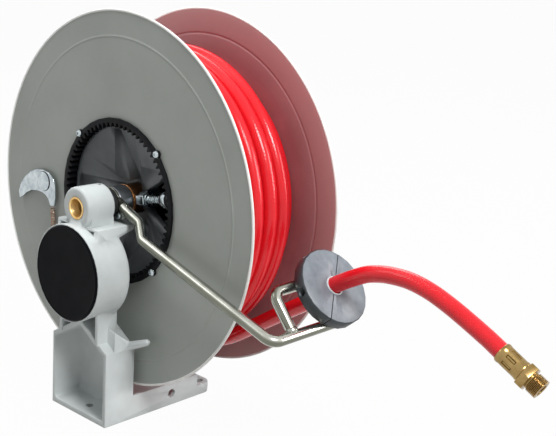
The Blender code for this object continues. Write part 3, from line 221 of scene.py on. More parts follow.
# Outlet fitting, with the crimps' angles in degrees
FITTING_START = (0.0838, -0.4621, -0.0566)
FITTING_AIM = (0.0860, -0.5057, -0.0804)
FERRULE_LENGTH = 0.0285
FERRULE_RADIUS = 0.0102
FERRULE_LIP = 0.0106
FERRULE_MOUTH = 0.0091
FERRULE_BACK = 0.0002
FERRULE_FLOOR = 0.006
FERRULE_STRAIGHT = 0.018
FERRULE_INSERT = 0.004
CRIMP_START = 0.008
CRIMP_END = 0.019
CRIMP_SPACING = 45
CRIMP_SPAN = 20
CRIMP_BORDER = 0.0009
CRIMP_DEPTH = 0.0007
HEX_LENGTH = 0.0085
HEX_FLATS = 0.0245
HEX_EDGE = 0.0005
THREAD_LENGTH = 0.014
THREAD_PITCH = 0.0018
THREAD_CREST = 0.0104
THREAD_ROOT = 0.0092
THREAD_GROOVE = 0.0088
FITTING_BORE = 0.006


def place(x, y, z):
    """A point on the reel, counted from CENTRE."""
    return CENTRE + Vector((x, y, z))


def facing(point, direction):
    """A frame at a point, with its x axis along a direction."""
    x = Vector(direction).normalized()
    y = Vector((0.0, 0.0, 1.0)).cross(x)
    y = Vector((0.0, 1.0, 0.0)) if y.length < 1e-6 else y.normalized()
    turn = Matrix((x, y, x.cross(y))).transposed().to_4x4()
    return Matrix.Translation(point) @ turn


AXLE = Matrix.Translation(CENTRE)
BRAKE = Matrix.Translation(place(0, 0, -BRAKE_DROP))
PAWL = Matrix.Translation(place(0, *PAWL_PLACE))
OUTLET = facing(place(SWIVEL_START + SWIVEL_LENGTH / 2 - OUTLET_SHIFT, 0, 0),
                (0.0, -math.cos(OUTLET_TILT), math.sin(OUTLET_TILT)))
STOP_AXIS = Vector((0.0, -math.cos(STOP_TILT), math.sin(STOP_TILT)))
LOOP_RISE = Vector((0.0, math.sin(STOP_TILT), math.cos(STOP_TILT)))
STOP_BACK = place(STOP_X, LOOP_Y, LOOP_Z) + LOOP_RISE * STOP_RISE + STOP_AXIS * (ROD_RADIUS + GAP)
STOP = facing(STOP_BACK, STOP_AXIS)
FITTING = facing(place(*FITTING_START), Vector(FITTING_AIM) - Vector(FITTING_START))


# Camera

def make_camera():
    """The photograph's eye: 1.3 m from the axle, a little above it and off to the drum's near side."""
    back = Vector((math.sin(CAMERA_AZIMUTH) * math.cos(CAMERA_ELEVATION),
                   -math.cos(CAMERA_AZIMUTH) * math.cos(CAMERA_ELEVATION), math.sin(CAMERA_ELEVATION)))
    right = Vector((0.0, 0.0, 1.0)).cross(back).normalized()
    up = back.cross(right)
    turned_right = right * math.cos(CAMERA_ROLL) + up * math.sin(CAMERA_ROLL)
    turned_up = up * math.cos(CAMERA_ROLL) - right * math.sin(CAMERA_ROLL)
    data = bpy.data.cameras.new("camera")
    data.lens = CAMERA_LENS
    data.sensor_width = CAMERA_SENSOR
    data.clip_end = 50
    camera = bpy.data.objects.new("camera", data)
    camera.matrix_world = (Matrix.Translation(CAMERA_PLACE)
                           @ Matrix((turned_right, turned_up, back)).transposed().to_4x4())
    bpy.context.scene.collection.objects.link(camera)
    bpy.context.scene.camera = camera


# Finishes

# What Blender's wave texture turns by in a metre at scale 1, in radians
WAVE_TURN = 20


def linear(code):
    """An sRGB hex value as linear RGBA."""
    parts = [int(code[k:k + 2], 16) / 255 for k in (0, 2, 4)]
    return (*[c / 12.92 if c <= 0.04045 else ((c + 0.055) / 1.055) ** 2.4 for c in parts], 1.0)


def add(tree, kind, links=(), **settings):
    """Adds a node with its settings, and its inputs as values or as links from other nodes' outputs."""
    made = tree.nodes.new(kind)
    for key, value in settings.items():
        setattr(made, key, value)
    for socket, value in dict(links).items():
        if isinstance(value, bpy.types.NodeSocket):
            tree.links.new(value, made.inputs[socket])
        else:
            made.inputs[socket].default_value = value
    return made


def finish(name, light, dark, roughness, mottle=30.0, grain=1.0, depth=0.02, metallic=0.0, spread=0.05,
           centre=None, turn=(0.0, 0.0, 0.0), squeeze=(1.0, 1.0, 1.0), lines=0.0, **sockets):
    """A finish that drifts between two colours over patches of mottle mm.

    Its grain has a size and a depth in mm, and squeeze shortens the grain along an axis of the piece.
    lines adds turning marks, that many mm apart along x.
    """
    made = bpy.data.materials.new(name)
    made.use_nodes = True
    tree = made.node_tree
    shader = tree.nodes["Principled BSDF"]
    where = add(tree, "ShaderNodeTexCoord").outputs["Object"]
    if centre is not None:
        moved = add(tree, "ShaderNodeVectorMath", {0: where, 1: tuple(centre)}, operation="SUBTRACT")
        where = add(tree, "ShaderNodeVectorRotate", {"Vector": moved.outputs[0], "Rotation": turn},
                    rotation_type="EULER_XYZ", invert=True).outputs[0]
    patches = add(tree, "ShaderNodeTexNoise", {"Vector": where, "Scale": 1000 / mottle, "Detail": 5.0,
                                               "Roughness": 0.6})
    contrast = add(tree, "ShaderNodeMapRange", {"Value": patches.outputs["Fac"], "From Min": 0.3,
                                                "From Max": 0.7})
    colour = add(tree, "ShaderNodeMix", {0: contrast.outputs[0], 6: linear(dark), 7: linear(light)},
                 data_type="RGBA")
    drift = add(tree, "ShaderNodeMapRange", {"Value": patches.outputs["Fac"], "From Min": 0.3,
                                             "From Max": 0.7, "To Min": roughness + spread,
                                             "To Max": roughness - spread})
    along = add(tree, "ShaderNodeMapping", {"Vector": where, "Scale": squeeze})
    grains = add(tree, "ShaderNodeTexNoise", {"Vector": along.outputs[0], "Scale": 1000 / grain,
                                              "Detail": 3.0})
    height = grains.outputs["Fac"]
    if lines:
        scale = 2 * math.pi / WAVE_TURN * 1000 / lines
        rings = add(tree, "ShaderNodeTexWave", {"Vector": where, "Scale": scale, "Distortion": 0.4},
                    bands_direction="X")
        height = add(tree, "ShaderNodeMath", {0: height, 1: rings.outputs["Fac"]}, operation="ADD").outputs[0]
    bump = add(tree, "ShaderNodeBump", {"Strength": 1.0, "Distance": depth / 1000, "Height": height})
    for socket, value in (("Base Color", colour.outputs[2]), ("Roughness", drift.outputs[0]),
                          ("Normal", bump.outputs[0])):
        tree.links.new(value, shader.inputs[socket])
    shader.inputs["Metallic"].default_value = metallic
    for socket, value in sockets.items():
        shader.inputs[socket.replace("_", " ")].default_value = value
    return made


def make_finishes():
    """Every finish of the reel, by the name that its pieces use."""
    made = {}
    # Die-cast aluminium under a light grey powder coat: soft sheen, a fine pebble and slightly uneven tone
    made["casting"] = finish("powder_coated_casting", "D0D6D6", "C0C6C6", 0.46, mottle=45, grain=1.6,
                             depth=0.10)
    # Pressed steel sheet under a mid grey powder coat: satin, faint orange peel
    made["disc"] = finish("powder_coated_sheet", "A2A6A1", "989C97", 0.42, mottle=90, grain=3.0, depth=0.03)
    # The same sheet on the winding side, painted pink as a reflection of the red hose, with painted shade
    # darker beside the winding
    made["disc_inside"] = painted_hose_reflection_finish()
    # The rolled rim, painted near white on its curl as a highlight
    made["rim"] = finish("rolled_edge_painted_highlight", "F2F2EF", "E2E3E0", 0.35, mottle=18, grain=2.0, depth=0.03)
    # Moulded black polypropylene with a fine spark-eroded grain: flat black, almost without a highlight
    made["cap"] = finish("moulded_black_cap", "0A0B0E", "07080B", 0.5, mottle=25, grain=0.9, depth=0.03,
                         Specular_IOR_Level=0.05)
    # Glass-filled nylon: dark grey with a dull, slightly mottled skin
    made["hub"] = finish("glass_filled_nylon_hub", "64686B", "54585B", 0.42, mottle=35, grain=1.2, depth=0.04)
    # The same nylon dyed black: the teeth show only by a weak sheen
    made["gear"] = finish("glass_filled_nylon_gear", "0E0F12", "08090B", 0.5, mottle=20, grain=0.9,
                          depth=0.03, Specular_IOR_Level=0.12)
    # Machined brass: warm and bright. Its turning marks are drawn coarse, as real ones are too fine to show
    made["brass"] = finish("machined_brass", "B09563", "876D40", 0.24, mottle=12, grain=0.5, depth=0.01,
                           metallic=1.0, centre=FITTING.translation, turn=FITTING.to_euler(), lines=3.77)
    # Tarnished brass: the dies leave the crimps' borders brown and dull
    made["tarnish"] = finish("tarnished_brass", "6B5126", "4C3817", 0.42, mottle=5, grain=0.5, depth=0.01,
                             metallic=1.0)
    # Machined brass of the inlet: paler and duller, with the same coarse marks
    made["inlet"] = finish("machined_brass_inlet", "F2D296", "DAB472", 0.42, mottle=9, grain=0.5, depth=0.01,
                           metallic=1.0, centre=CENTRE, lines=3.77)
    # The thrust ring as a lighter, copper-coloured bronze, a painted highlight: a bright edge beside the
    # bronze
    made["copper"] = finish("thrust_ring_painted_highlight", "D09A6C", "AE7648", 0.25, mottle=6, grain=0.5, depth=0.01,
                            metallic=1.0)
    # Oiled bronze: brown and dull
    made["bronze"] = finish("oiled_bronze", "7E5A3A", "5A3D26", 0.38, mottle=8, grain=0.6, depth=0.02,
                            metallic=1.0)
    # Zinc plate with a faint yellow passivation, on flat and turned steel: bright, with duller patches
    made["zinc"] = finish("yellow_zinc_plate", "BEBFB2", "8B8F89", 0.15, mottle=22, grain=0.8, depth=0.015,
                          metallic=1.0, spread=0.06)
    # The same plate on the drawn bar, with painted dark reflection bands along it
    made["bar"] = bar_painted_reflection_finish()
    # Bright zinc plate with a faint blue passivation: the clean shine of the small parts
    made["bright"] = finish("bright_zinc_plate", "CCD4D7", "A3AEB3", 0.2, mottle=9, grain=0.6, depth=0.01,
                            metallic=1.0, spread=0.06)
    # Ground steel: greyer than the plate, with a soft shine and fine marks round the axle
    made["ground"] = finish("ground_steel", "A6AAAE", "8E9296", 0.34, mottle=14, grain=0.4, depth=0.006,
                            metallic=1.0, squeeze=(4.0, 1.0, 1.0))
    # Black-oxide steel of the socket screws: near black with a satin highlight. The same near black is
    # painted shade round the rivet's head
    made["oxide"] = finish("black_oxide_and_painted_shade", "1B1C1E", "101113", 0.4, mottle=6, grain=0.5, depth=0.01,
                           Specular_IOR_Level=0.3)
    # Blued spring strip: dark blue-grey metal
    made["blued"] = finish("blued_spring_strip", "4C5562", "39414D", 0.32, mottle=30, grain=0.6, depth=0.01,
                           metallic=1.0)
    # Copper-washed spring wire: a dull, pinkish metal
    made["spring"] = finish("copper_washed_wire", "B89C88", "8C7260", 0.34, mottle=6, grain=0.5, depth=0.01,
                            metallic=1.0)
    # Moulded friction material: dull brown with coarse grit
    made["friction"] = finish("moulded_friction", "4A3E36", "2F2722", 0.85, mottle=3, grain=0.7, depth=0.1)
    # Soft dark rubber, painted a lighter grey on its broad faces as the sheen they reflect
    made["stop_face"] = finish("rubber_painted_sheen", "7F858C", "656B73", 0.4, mottle=14, grain=1.0, depth=0.03)
    # The same rubber round the edge, in its own dark, dull colour without the painted sheen
    made["stop_rim"] = finish("dark_rubber", "30363A", "262B2F", 0.5, mottle=14, grain=1.0, depth=0.03)
    # The pale moulded collar where the hose leaves the stop: a light, satin ring
    made["collar"] = finish("pale_moulded_collar", "DADDE0", "C4C8CC", 0.4, mottle=10, grain=1.0, depth=0.02)
    # Black rubber of the feed hose and the spacer: dull, with a slight bloom
    made["black_hose"] = finish("black_rubber_hose", "222325", "161719", 0.5, mottle=10, grain=0.8,
                                depth=0.03)
    made["hose"] = hose_finish()
    return made


def tinted(made, share, code):
    """Mixes a second colour into a finish's own, by a share that a node gives."""
    tree = made.node_tree
    base = tree.nodes["Principled BSDF"].inputs["Base Color"]
    mixed = add(tree, "ShaderNodeMix", {0: share, 6: base.links[0].from_socket, 7: linear(code)},
                data_type="RGBA")
    tree.links.new(mixed.outputs[2], base)
    return made


def painted_hose_reflection_finish():
    """Powder coat on the winding side, pink as a painted reflection of the red hose: darker beside the
    winding as painted shade, and paler out towards the rim.
    """
    made = finish("powder_coat_painted_hose_reflection", "A87276", "966266", 0.45, mottle=70, grain=3.0, depth=0.03)
    tree = made.node_tree
    where = add(tree, "ShaderNodeTexCoord").outputs["Object"]
    apart = add(tree, "ShaderNodeVectorMath", {0: where, 1: tuple(CENTRE)}, operation="SUBTRACT")
    across = add(tree, "ShaderNodeVectorMath", {0: apart.outputs[0], 1: (0, 1, 1)}, operation="MULTIPLY")
    radius = add(tree, "ShaderNodeVectorMath", {0: across.outputs[0]}, operation="LENGTH").outputs["Value"]
    # Painted shade: the pink is darkest beside the winding and grows paler towards the rim
    painted_shade_fade = add(tree, "ShaderNodeMapRange", {"Value": radius, "From Min": WOUND_RADIUS,
                                                "From Max": DISC_RADIUS})
    return tinted(made, painted_shade_fade.outputs[0], "BA9292")


def bar_painted_reflection_finish():
    """Zinc plate on drawn bar: bright and dull streaks run along it, the dull ones painted reflections of
    darker surroundings.
    """
    made = finish("zinc_bar_painted_reflection_bands", "CACBC2", "A8AAA0", 0.24, mottle=22, grain=0.8, depth=0.015, metallic=1.0,
                  spread=0.05)
    tree = made.node_tree
    lay = add(tree, "ShaderNodeAttribute", attribute_name="lay")
    split = add(tree, "ShaderNodeSeparateXYZ", {0: lay.outputs["Vector"]})
    drift = add(tree, "ShaderNodeTexNoise", {"Vector": lay.outputs["Vector"], "Scale": 1.0, "Detail": 2.0})
    turn = add(tree, "ShaderNodeMath", {0: split.outputs[0], 1: 2 * math.pi * STREAKS,
                                        2: drift.outputs["Fac"]}, operation="MULTIPLY_ADD")
    wave = add(tree, "ShaderNodeMath", {0: turn.outputs[0]}, operation="COSINE")
    # Painted reflection: the dull streaks darken the bar in bands round it
    dull = add(tree, "ShaderNodeMapRange", {"Value": wave.outputs[0], "From Min": 0.1, "From Max": 0.9,
                                            "To Max": 0.85}, interpolation_type="SMOOTHSTEP")
    return tinted(made, dull.outputs[0], "66685B")


def hose_finish():
    """Extruded red PVC: glossy and slightly translucent, with the braid standing out finely in the skin."""
    made = finish("extruded_red_pvc", "E41B27", "D41420", 0.17, mottle=60, grain=6.0, depth=0.05, spread=0.03,
                  Subsurface_Weight=0.05, Subsurface_Radius=(0.006, 0.001, 0.001), Specular_IOR_Level=0.4)
    tree = made.node_tree
    normal = tree.nodes["Principled BSDF"].inputs["Normal"]
    skin = normal.links[0].from_socket
    lay = add(tree, "ShaderNodeAttribute", attribute_name="lay")
    split = add(tree, "ShaderNodeSeparateXYZ", {0: lay.outputs["Vector"]})
    threads = []
    for side in (1, -1):
        slant = add(tree, "ShaderNodeMath", {0: split.outputs[0], 1: side, 2: split.outputs[1]},
                    operation="MULTIPLY_ADD")
        wave = add(tree, "ShaderNodeMath", {0: slant.outputs[0], 1: 2 * math.pi}, operation="MULTIPLY")
        threads.append(add(tree, "ShaderNodeMath", {0: wave.outputs[0]}, operation="SINE").outputs[0])
    braid = add(tree, "ShaderNodeMath", {0: threads[0], 1: threads[1]}, operation="MAXIMUM")
    raised = add(tree, "ShaderNodeBump", {"Strength": 1.0, "Distance": BRAID_DEPTH,
                                          "Height": braid.outputs[0], "Normal": skin})
    tree.links.new(raised.outputs[0], normal)
    shown = add(tree, "ShaderNodeMapRange", {"Value": braid.outputs[0], "From Min": 0.55, "From Max": 1.0,
                                             "To Max": 0.05})
    return tinted(made, shown.outputs[0], "F0585C")


# Shapes

def piece(name, shape, finishes, body, sharp=35):
    """A finished mesh object that rides on a body, or on none yet. Its first finish names its slot."""
    mesh = bpy.data.meshes.new(name)
    shape.to_mesh(mesh)
    shape.free()
    mesh.shade_smooth()
    mesh.set_sharp_from_angle(angle=math.radians(sharp))
    finishes = finishes if isinstance(finishes, tuple) else (finishes,)
    for each in finishes:
        mesh.materials.append(FINISHES[each])
    made = bpy.data.objects.new(name, mesh)
    bpy.context.scene.collection.objects.link(made)
    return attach(made, body) if body else made


def eased(outline, radius, steps=3):
    """A closed outline with each corner above its axis rounded, by less where its sides are short."""
    made = []
    for before, corner, after in zip(outline[-1:] + outline[:-1], outline, outline[1:] + outline[:1]):
        before, corner, after = Vector(before), Vector(corner), Vector(after)
        into, away = corner - before, after - corner
        half = into.angle(away, 0.0) / 2
        if half < math.radians(4) or radius == 0.0 or corner.y < 1e-9:
            made.append(tuple(corner))
            continue
        reach = min(radius * math.tan(half), 0.45 * into.length, 0.45 * away.length)
        begin = corner - into.normalized() * reach
        end = corner + away.normalized() * reach
        for k in range(steps + 1):
            t = k / steps
            made.append(tuple(begin * (1 - t) ** 2 + corner * 2 * t * (1 - t) + end * t * t))
    return made


def spun(outline, steps, ease):
    """A bmesh of a closed (x, radius) outline spun about the x axis."""
    shape = bmesh.new()
    corners = [shape.verts.new((x, radius, 0.0)) for x, radius in eased(outline, ease)]
    edges = [shape.edges.new((a, b)) for a, b in zip(corners, corners[1:] + corners[:1])
             if max(a.co.y, b.co.y) > 1e-9]
    bmesh.ops.spin(shape, geom=corners + edges, cent=(0, 0, 0), axis=(1, 0, 0), dvec=(0, 0, 0),
                   angle=2 * math.pi, steps=steps, use_merge=True)
    bmesh.ops.remove_doubles(shape, verts=shape.verts, dist=MERGED)
    bmesh.ops.recalc_face_normals(shape, faces=shape.faces)
    return shape


def turned(name, outline, finishes, body, at=AXLE, steps=96, ease=0.0004, second=None):
    """A turned piece. second picks the faces, by x and radius, that take the second finish."""
    shape = spun(outline, steps, ease)
    if second:
        for face in shape.faces:
            middle = face.calc_center_median()
            face.material_index = int(second(middle.x, math.hypot(middle.y, middle.z)))
    shape.transform(at)
    return piece(name, shape, finishes, body)


def tube_mesh(points, radius, sides):
    """A round bar along points, with closed ends and a map that runs along and round it."""
    curve = bpy.data.curves.new("bar", "CURVE")
    curve.dimensions = "3D"
    curve.bevel_depth = radius
    curve.bevel_resolution = sides // 2 - 2
    curve.use_fill_caps = True
    spline = curve.splines.new("POLY")
    spline.points.add(len(points) - 1)
    for point, spot in zip(spline.points, points):
        point.co = (*spot, 1.0)
    thing = bpy.data.objects.new("bar", curve)
    mesh = bpy.data.meshes.new_from_object(thing)
    bpy.data.objects.remove(thing)
    shape = bmesh.new()
    shape.from_mesh(mesh)
    bpy.data.meshes.remove(mesh)
    bmesh.ops.remove_doubles(shape, verts=shape.verts, dist=MERGED)
    bmesh.ops.recalc_face_normals(shape, faces=shape.faces)
    return shape


def tube(name, points, radius, finishes, body, sides=24):
    """A round bar along points as a finished piece."""
    return piece(name, tube_mesh(points, radius, sides), finishes, body)


def laid(made, points, around, along):
    """Keeps where a bar's corners lie on it: x counts to around once round it, and y by lengths of along."""
    mesh = made.data
    length = sum((b - a).length for a, b in zip(points, points[1:]))
    lay = mesh.attributes.new("lay", "FLOAT_VECTOR", "CORNER")
    for k, corner in enumerate(mesh.uv_layers.active.uv):
        u, v = corner.vector
        lay.data[k].vector = (v * around, u * length / along, 0.0)
    return made


def hose(name, points, body):
    """A length of the red hose, with the braid's lay kept on it."""
    return laid(tube(name, points, HOSE_RADIUS, "hose", body), points, BRAID_THREADS, BRAID_LAY)


def smooth_path(route, spacing):
    """Points along a Catmull-Rom curve through the route, about one spacing apart."""
    route = [Vector(point) for point in route]
    ends = [2 * route[0] - route[1], *route, 2 * route[-1] - route[-2]]
    path = []
    for p0, p1, p2, p3 in zip(ends, ends[1:], ends[2:], ends[3:]):
        count = max(1, round((p2 - p1).length / spacing))
        for k in range(count):
            t = k / count
            path.append(0.5 * (2 * p1 + (p2 - p0) * t + (2 * p0 - 5 * p1 + 4 * p2 - p3) * t * t
                               + (3 * p1 - p0 - 3 * p2 + p3) * t * t * t))
    path.append(route[-1])
    return path


def rounded_path(corners, bend, steps):
    """Corners joined by straight runs, each inner corner rounded by an arc of the bend radius."""
    path = [Vector(corners[0])]
    for before, corner, after in zip(corners, corners[1:], corners[2:]):
        into = (Vector(corner) - Vector(before)).normalized()
        away = (Vector(after) - Vector(corner)).normalized()
        half = into.angle(away) / 2
        centre = Vector(corner) + (away - into).normalized() * bend / math.cos(half)
        begin = Vector(corner) - into * bend * math.tan(half) - centre
        turn = into.cross(away).normalized()
        for k in range(steps + 1):
            path.append(centre + Matrix.Rotation(2 * half * k / steps, 3, turn) @ begin)
    path.append(Vector(corners[-1]))
    return path


def rounded(solid, ease, sharp, kept):
    """A copy of the solid with its sharp edges rounded, except at short edges and at the kept corners."""
    shape = solid.copy()
    crowded = {v for edge in shape.edges if edge.calc_length() < 2 * ease for v in edge.verts}
    crowded |= {v for v in shape.verts if any((v.co - corner).length < 2.5 * ease for corner in kept)}
    edges = [edge for edge in shape.edges
             if len(edge.link_faces) == 2 and not crowded.intersection(edge.verts)
             and edge.calc_face_angle() > math.radians(sharp)]
    bmesh.ops.bevel(shape, geom=edges, offset=ease, offset_type="OFFSET", affect="EDGES", segments=2,
                    profile=0.5, material=-1, clamp_overlap=False)
    bmesh.ops.remove_doubles(shape, verts=shape.verts, dist=NODE_MERGED)
    bmesh.ops.triangulate(shape, faces=shape.faces)
    return shape


def refined(node, finishes, ease, second=None, sharp=28):
    """A node's own shape with its edges rounded.

    second picks the faces, by centre and normal, that take the second finish. Where roundings cross and a
    face leaves the node's surface, the corners there stay sharp in the next attempt.
    """
    solid = bmesh.new()
    solid.from_mesh(frame["nodes"][node].data)
    bmesh.ops.remove_doubles(solid, verts=solid.verts, dist=NODE_MERGED)
    surface = BVHTree.FromBMesh(solid)
    bmesh.ops.dissolve_limit(solid, angle_limit=math.radians(0.6), verts=solid.verts, edges=solid.edges)
    kept = []
    for attempt in range(ROUNDING_ATTEMPTS):
        shape = rounded(solid, ease, sharp, kept)
        crossed = []
        for face in shape.faces:
            if face.calc_area() > SMALLEST_FACE:
                _, normal, _, away = surface.find_nearest(face.calc_center_median())
                if away > 1.2 * ease or (away > 1e-5 and normal.dot(face.normal) < -0.3):
                    crossed.append(face)
        if not crossed:
            break
        kept += [v.co.copy() for face in crossed for v in face.verts]
        if attempt < ROUNDING_ATTEMPTS - 1:
            shape.free()
    solid.free()
    if second:
        for face in shape.faces:
            face.material_index = int(second(face.calc_center_median(), face.normal))
    made = piece(f"{node}_finished", shape, finishes, frame["nodes"][node]["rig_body"])
    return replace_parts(made, node)


# Pieces

def discs():
    """Pressed sheet discs: a raised bead near the edge and a rolled rim."""
    bead = [(-BEAD_HEIGHT * math.sin(math.pi * k / 8), BEAD_RADIUS + BEAD_WIDTH * (k / 8 - 0.5))
            for k in range(9)]
    # A narrow flat each side of the bead and the rim keeps the sheet between them evenly shaded
    bead = [(0.0, BEAD_RADIUS - BEAD_WIDTH), *bead, (0.0, BEAD_RADIUS + BEAD_WIDTH)]
    curl = [(RIM_ROLL * (0.4 + math.cos(a)), DISC_RADIUS + RIM_ROLL * (math.sin(a) - 1))
            for a in (math.radians(235 - 30 * k) for k in range(10))]
    rim_foot = DISC_RADIUS - 2.4 * RIM_ROLL
    outer = [(0.0, DISC_MOUTH), (0.0, DISC_MIDDLE), *bead, (0.0, rim_foot - BEAD_WIDTH), (0.0, rim_foot),
             *curl]
    inner = [(DISC_SHEET, rim_foot), (DISC_SHEET, rim_foot - BEAD_WIDTH),
             *[(x + DISC_SHEET, radius) for x, radius in bead[::-1]],
             (DISC_SHEET, DISC_MIDDLE), (DISC_SHEET, DISC_MOUTH)]
    outline = outer + inner
    near = turned("near_disc_sheet", outline, ("disc", "rim", "disc_inside"), "drum", steps=180, ease=0.0)
    mirrored = [(DRUM_WIDTH + DISC_SHEET - x, radius) for x, radius in outline]
    far = turned("far_disc_sheet", mirrored, ("disc", "rim", "disc_inside"), "drum", steps=180, ease=0.0)
    for made, face_x, side in ((near, 0.0, 1), (far, DRUM_WIDTH + DISC_SHEET, -1)):
        for face in made.data.polygons:
            middle = face.center - CENTRE
            depth = (middle.x - face_x) * side
            # The outer curl takes the near-white rim finish, a painted highlight
            if math.hypot(middle.y, middle.z) > DISC_RADIUS - 1.9 * RIM_ROLL:
                face.material_index = 1
            # The winding side takes the pink finish, with its painted reflection of the hose and its painted
            # shade
            elif depth > DISC_SHEET / 2 and face.normal.x * side > 0.3:
                face.material_index = 2
    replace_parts(near, "near_disc")
    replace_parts(far, "far_disc")


def screws():
    """Domed heads with a socket, on the gear's ears and round the far disc."""
    head = [(0.0, SCREW_HEAD), (-0.0009, SCREW_HEAD - 0.0001), (-0.002, SCREW_HEAD - 0.0009),
            (-SCREW_DOME, SCREW_HEAD / 2), (-SCREW_DOME, SCREW_SOCKET), (-0.0012, SCREW_SOCKET - 0.0001),
            (-0.0009, 0.0), (SCREW_LENGTH, 0.0), (SCREW_LENGTH, SCREW_SHANK), (0.0, SCREW_SHANK)]
    for k in range(SCREWS):
        angle = math.radians(45 + 360 / SCREWS * k)
        y, z = SCREW_CIRCLE * math.cos(angle), SCREW_CIRCLE * math.sin(angle)
        near = turned(f"gear_screw_head_{k + 1}", head, "bright", "drum",
                      Matrix.Translation(place(-RING_FACE - GAP, y, z)), steps=24, ease=0.0002)
        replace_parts(near, f"gear_screw_{k + 1}")
        seat = place(DRUM_WIDTH + DISC_SHEET + GAP, y, z)
        far = turned(f"far_screw_head_{k + 1}", head, "bright", "drum",
                     Matrix.Translation(seat) @ Matrix.Rotation(math.pi, 4, "Z"), steps=24, ease=0.0002)
        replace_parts(far, f"far_screw_{k + 1}")


def stand():
    """The casting with its cap, the threaded inlet, the sleeve and the other pieces on the axle."""
    refined("stand_casting", "casting", ease=0.0008)
    cap_outline = [(CAP_FACE, 0.0), (CAP_FACE, CAP_RADIUS - 0.0032),
                   (CAP_FACE - CAP_BEAD, CAP_RADIUS - 0.0026), (CAP_FACE - CAP_BEAD, CAP_RADIUS - 0.0012),
                   (CAP_FACE + 0.0012, CAP_RADIUS), (CAP_SEAT, CAP_RADIUS), (CAP_SEAT, CAP_SPIGOT),
                   (CAP_SPIGOT_END, CAP_SPIGOT), (CAP_SPIGOT_END, 0.0)]
    cap = turned("brake_cap", cap_outline, "cap", "stand", BRAKE, steps=128, ease=0.0005)
    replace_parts(cap, "housing_cap")
    inlet_end = BOSS_FACE + INLET_DEPTH
    thread = []
    x = BOSS_FACE + 0.0012
    while x < inlet_end - 0.002:
        thread += [(x, INLET_CREST), (x + 0.0007, INLET_ROOT), (x + 0.0011, INLET_ROOT)]
        x += THREAD_PITCH
    inlet_outline = [(BOSS_FACE - INLET_PROUD, INLET_MOUTH), (BOSS_FACE - INLET_PROUD, AXLE_RADIUS),
                     (inlet_end, AXLE_RADIUS), (inlet_end, INLET_BORE), *thread[::-1]]
    inlet = turned("inlet_thread", inlet_outline, "inlet", "stand", steps=72, ease=0.0002)
    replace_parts(inlet, "inlet_bush")
    sleeve_end = SLEEVE_START + SLEEVE_LENGTH
    bore = AXLE_RADIUS + GAP
    sleeve_outline = [(SLEEVE_START, bore), (SLEEVE_START, SLEEVE_RADIUS), (sleeve_end, SLEEVE_RADIUS),
                      (sleeve_end, bore)]
    sleeve = turned("bearing_sleeve", sleeve_outline, "ground", "stand", ease=0.0008)
    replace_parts(sleeve, "axle_sleeve")
    # The thrust ring takes the lighter bronze, a painted highlight
    for node, easing, look in (("axle_set_screw", 0.0005, "oxide"), ("spacer_ring", 0.0008, "black_hose"),
                               ("thrust_ring", 0.0003, "copper"), ("axle_end_washer", 0.0004, "zinc"),
                               ("axle_end_nut", 0.0008, "zinc"), ("axle", 0.0005, "zinc")):
        refined(node, look, easing)


def hub():
    """The dished hubs and the ring gear. The hidden pieces behind them only take their finishes."""
    refined("ring_gear", "gear", ease=0.0003)
    refined("hub_web", "hub", ease=0.0005, sharp=12)
    refined("far_web", "hub", ease=0.0006)
    for node, look in (("drum_core", "gear"), ("front_bush", "bronze"), ("rear_bush", "bronze"),
                       ("spring_case", "blued"), ("spring_case_cover", "blued"), ("power_spring", "blued"),
                       ("spring_arbor", "ground"), ("brake_shaft", "ground"), ("shoe_carrier", "ground"),
                       ("brake_bearing_front", "ground"), ("brake_bearing_rear", "ground"),
                       ("brake_shoe_a", "friction"), ("brake_shoe_b", "friction"),
                       ("brake_liner", "friction")):
        slots = frame["nodes"][node].data.materials
        slots.clear()
        slots.append(FINISHES[look])


def swivel():
    """The rotary joint with its nut, barbed tail, clamp and feed hose."""
    refined("swivel_body", "bronze", ease=0.0005)
    refined("swivel_nut", "bright", ease=0.0008)
    refined("tail_clamp", "bright", ease=0.0003)
    refined("feed_hose", "black_hose", ease=0.0008)
    outline = [(TAIL_START, TAIL_BORE), (TAIL_START, TAIL_COLLAR), (TAIL_START + 0.0025, TAIL_COLLAR),
               (TAIL_START + 0.003, TAIL_RADIUS + 0.0004)]
    x = TAIL_START + 0.0045
    while x < TAIL_END - TAIL_PLAIN:
        outline += [(x, TAIL_RADIUS), (x + 0.0048, BARB_RADIUS), (x + 0.0052, TAIL_RADIUS)]
        x += BARB_PITCH
    outline += [(TAIL_END, TAIL_RADIUS), (TAIL_END, TAIL_BORE)]
    tail = turned("barbed_tail", outline, "bright", "drum", OUTLET, steps=48, ease=0.0002)
    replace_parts(tail, "hose_tail")


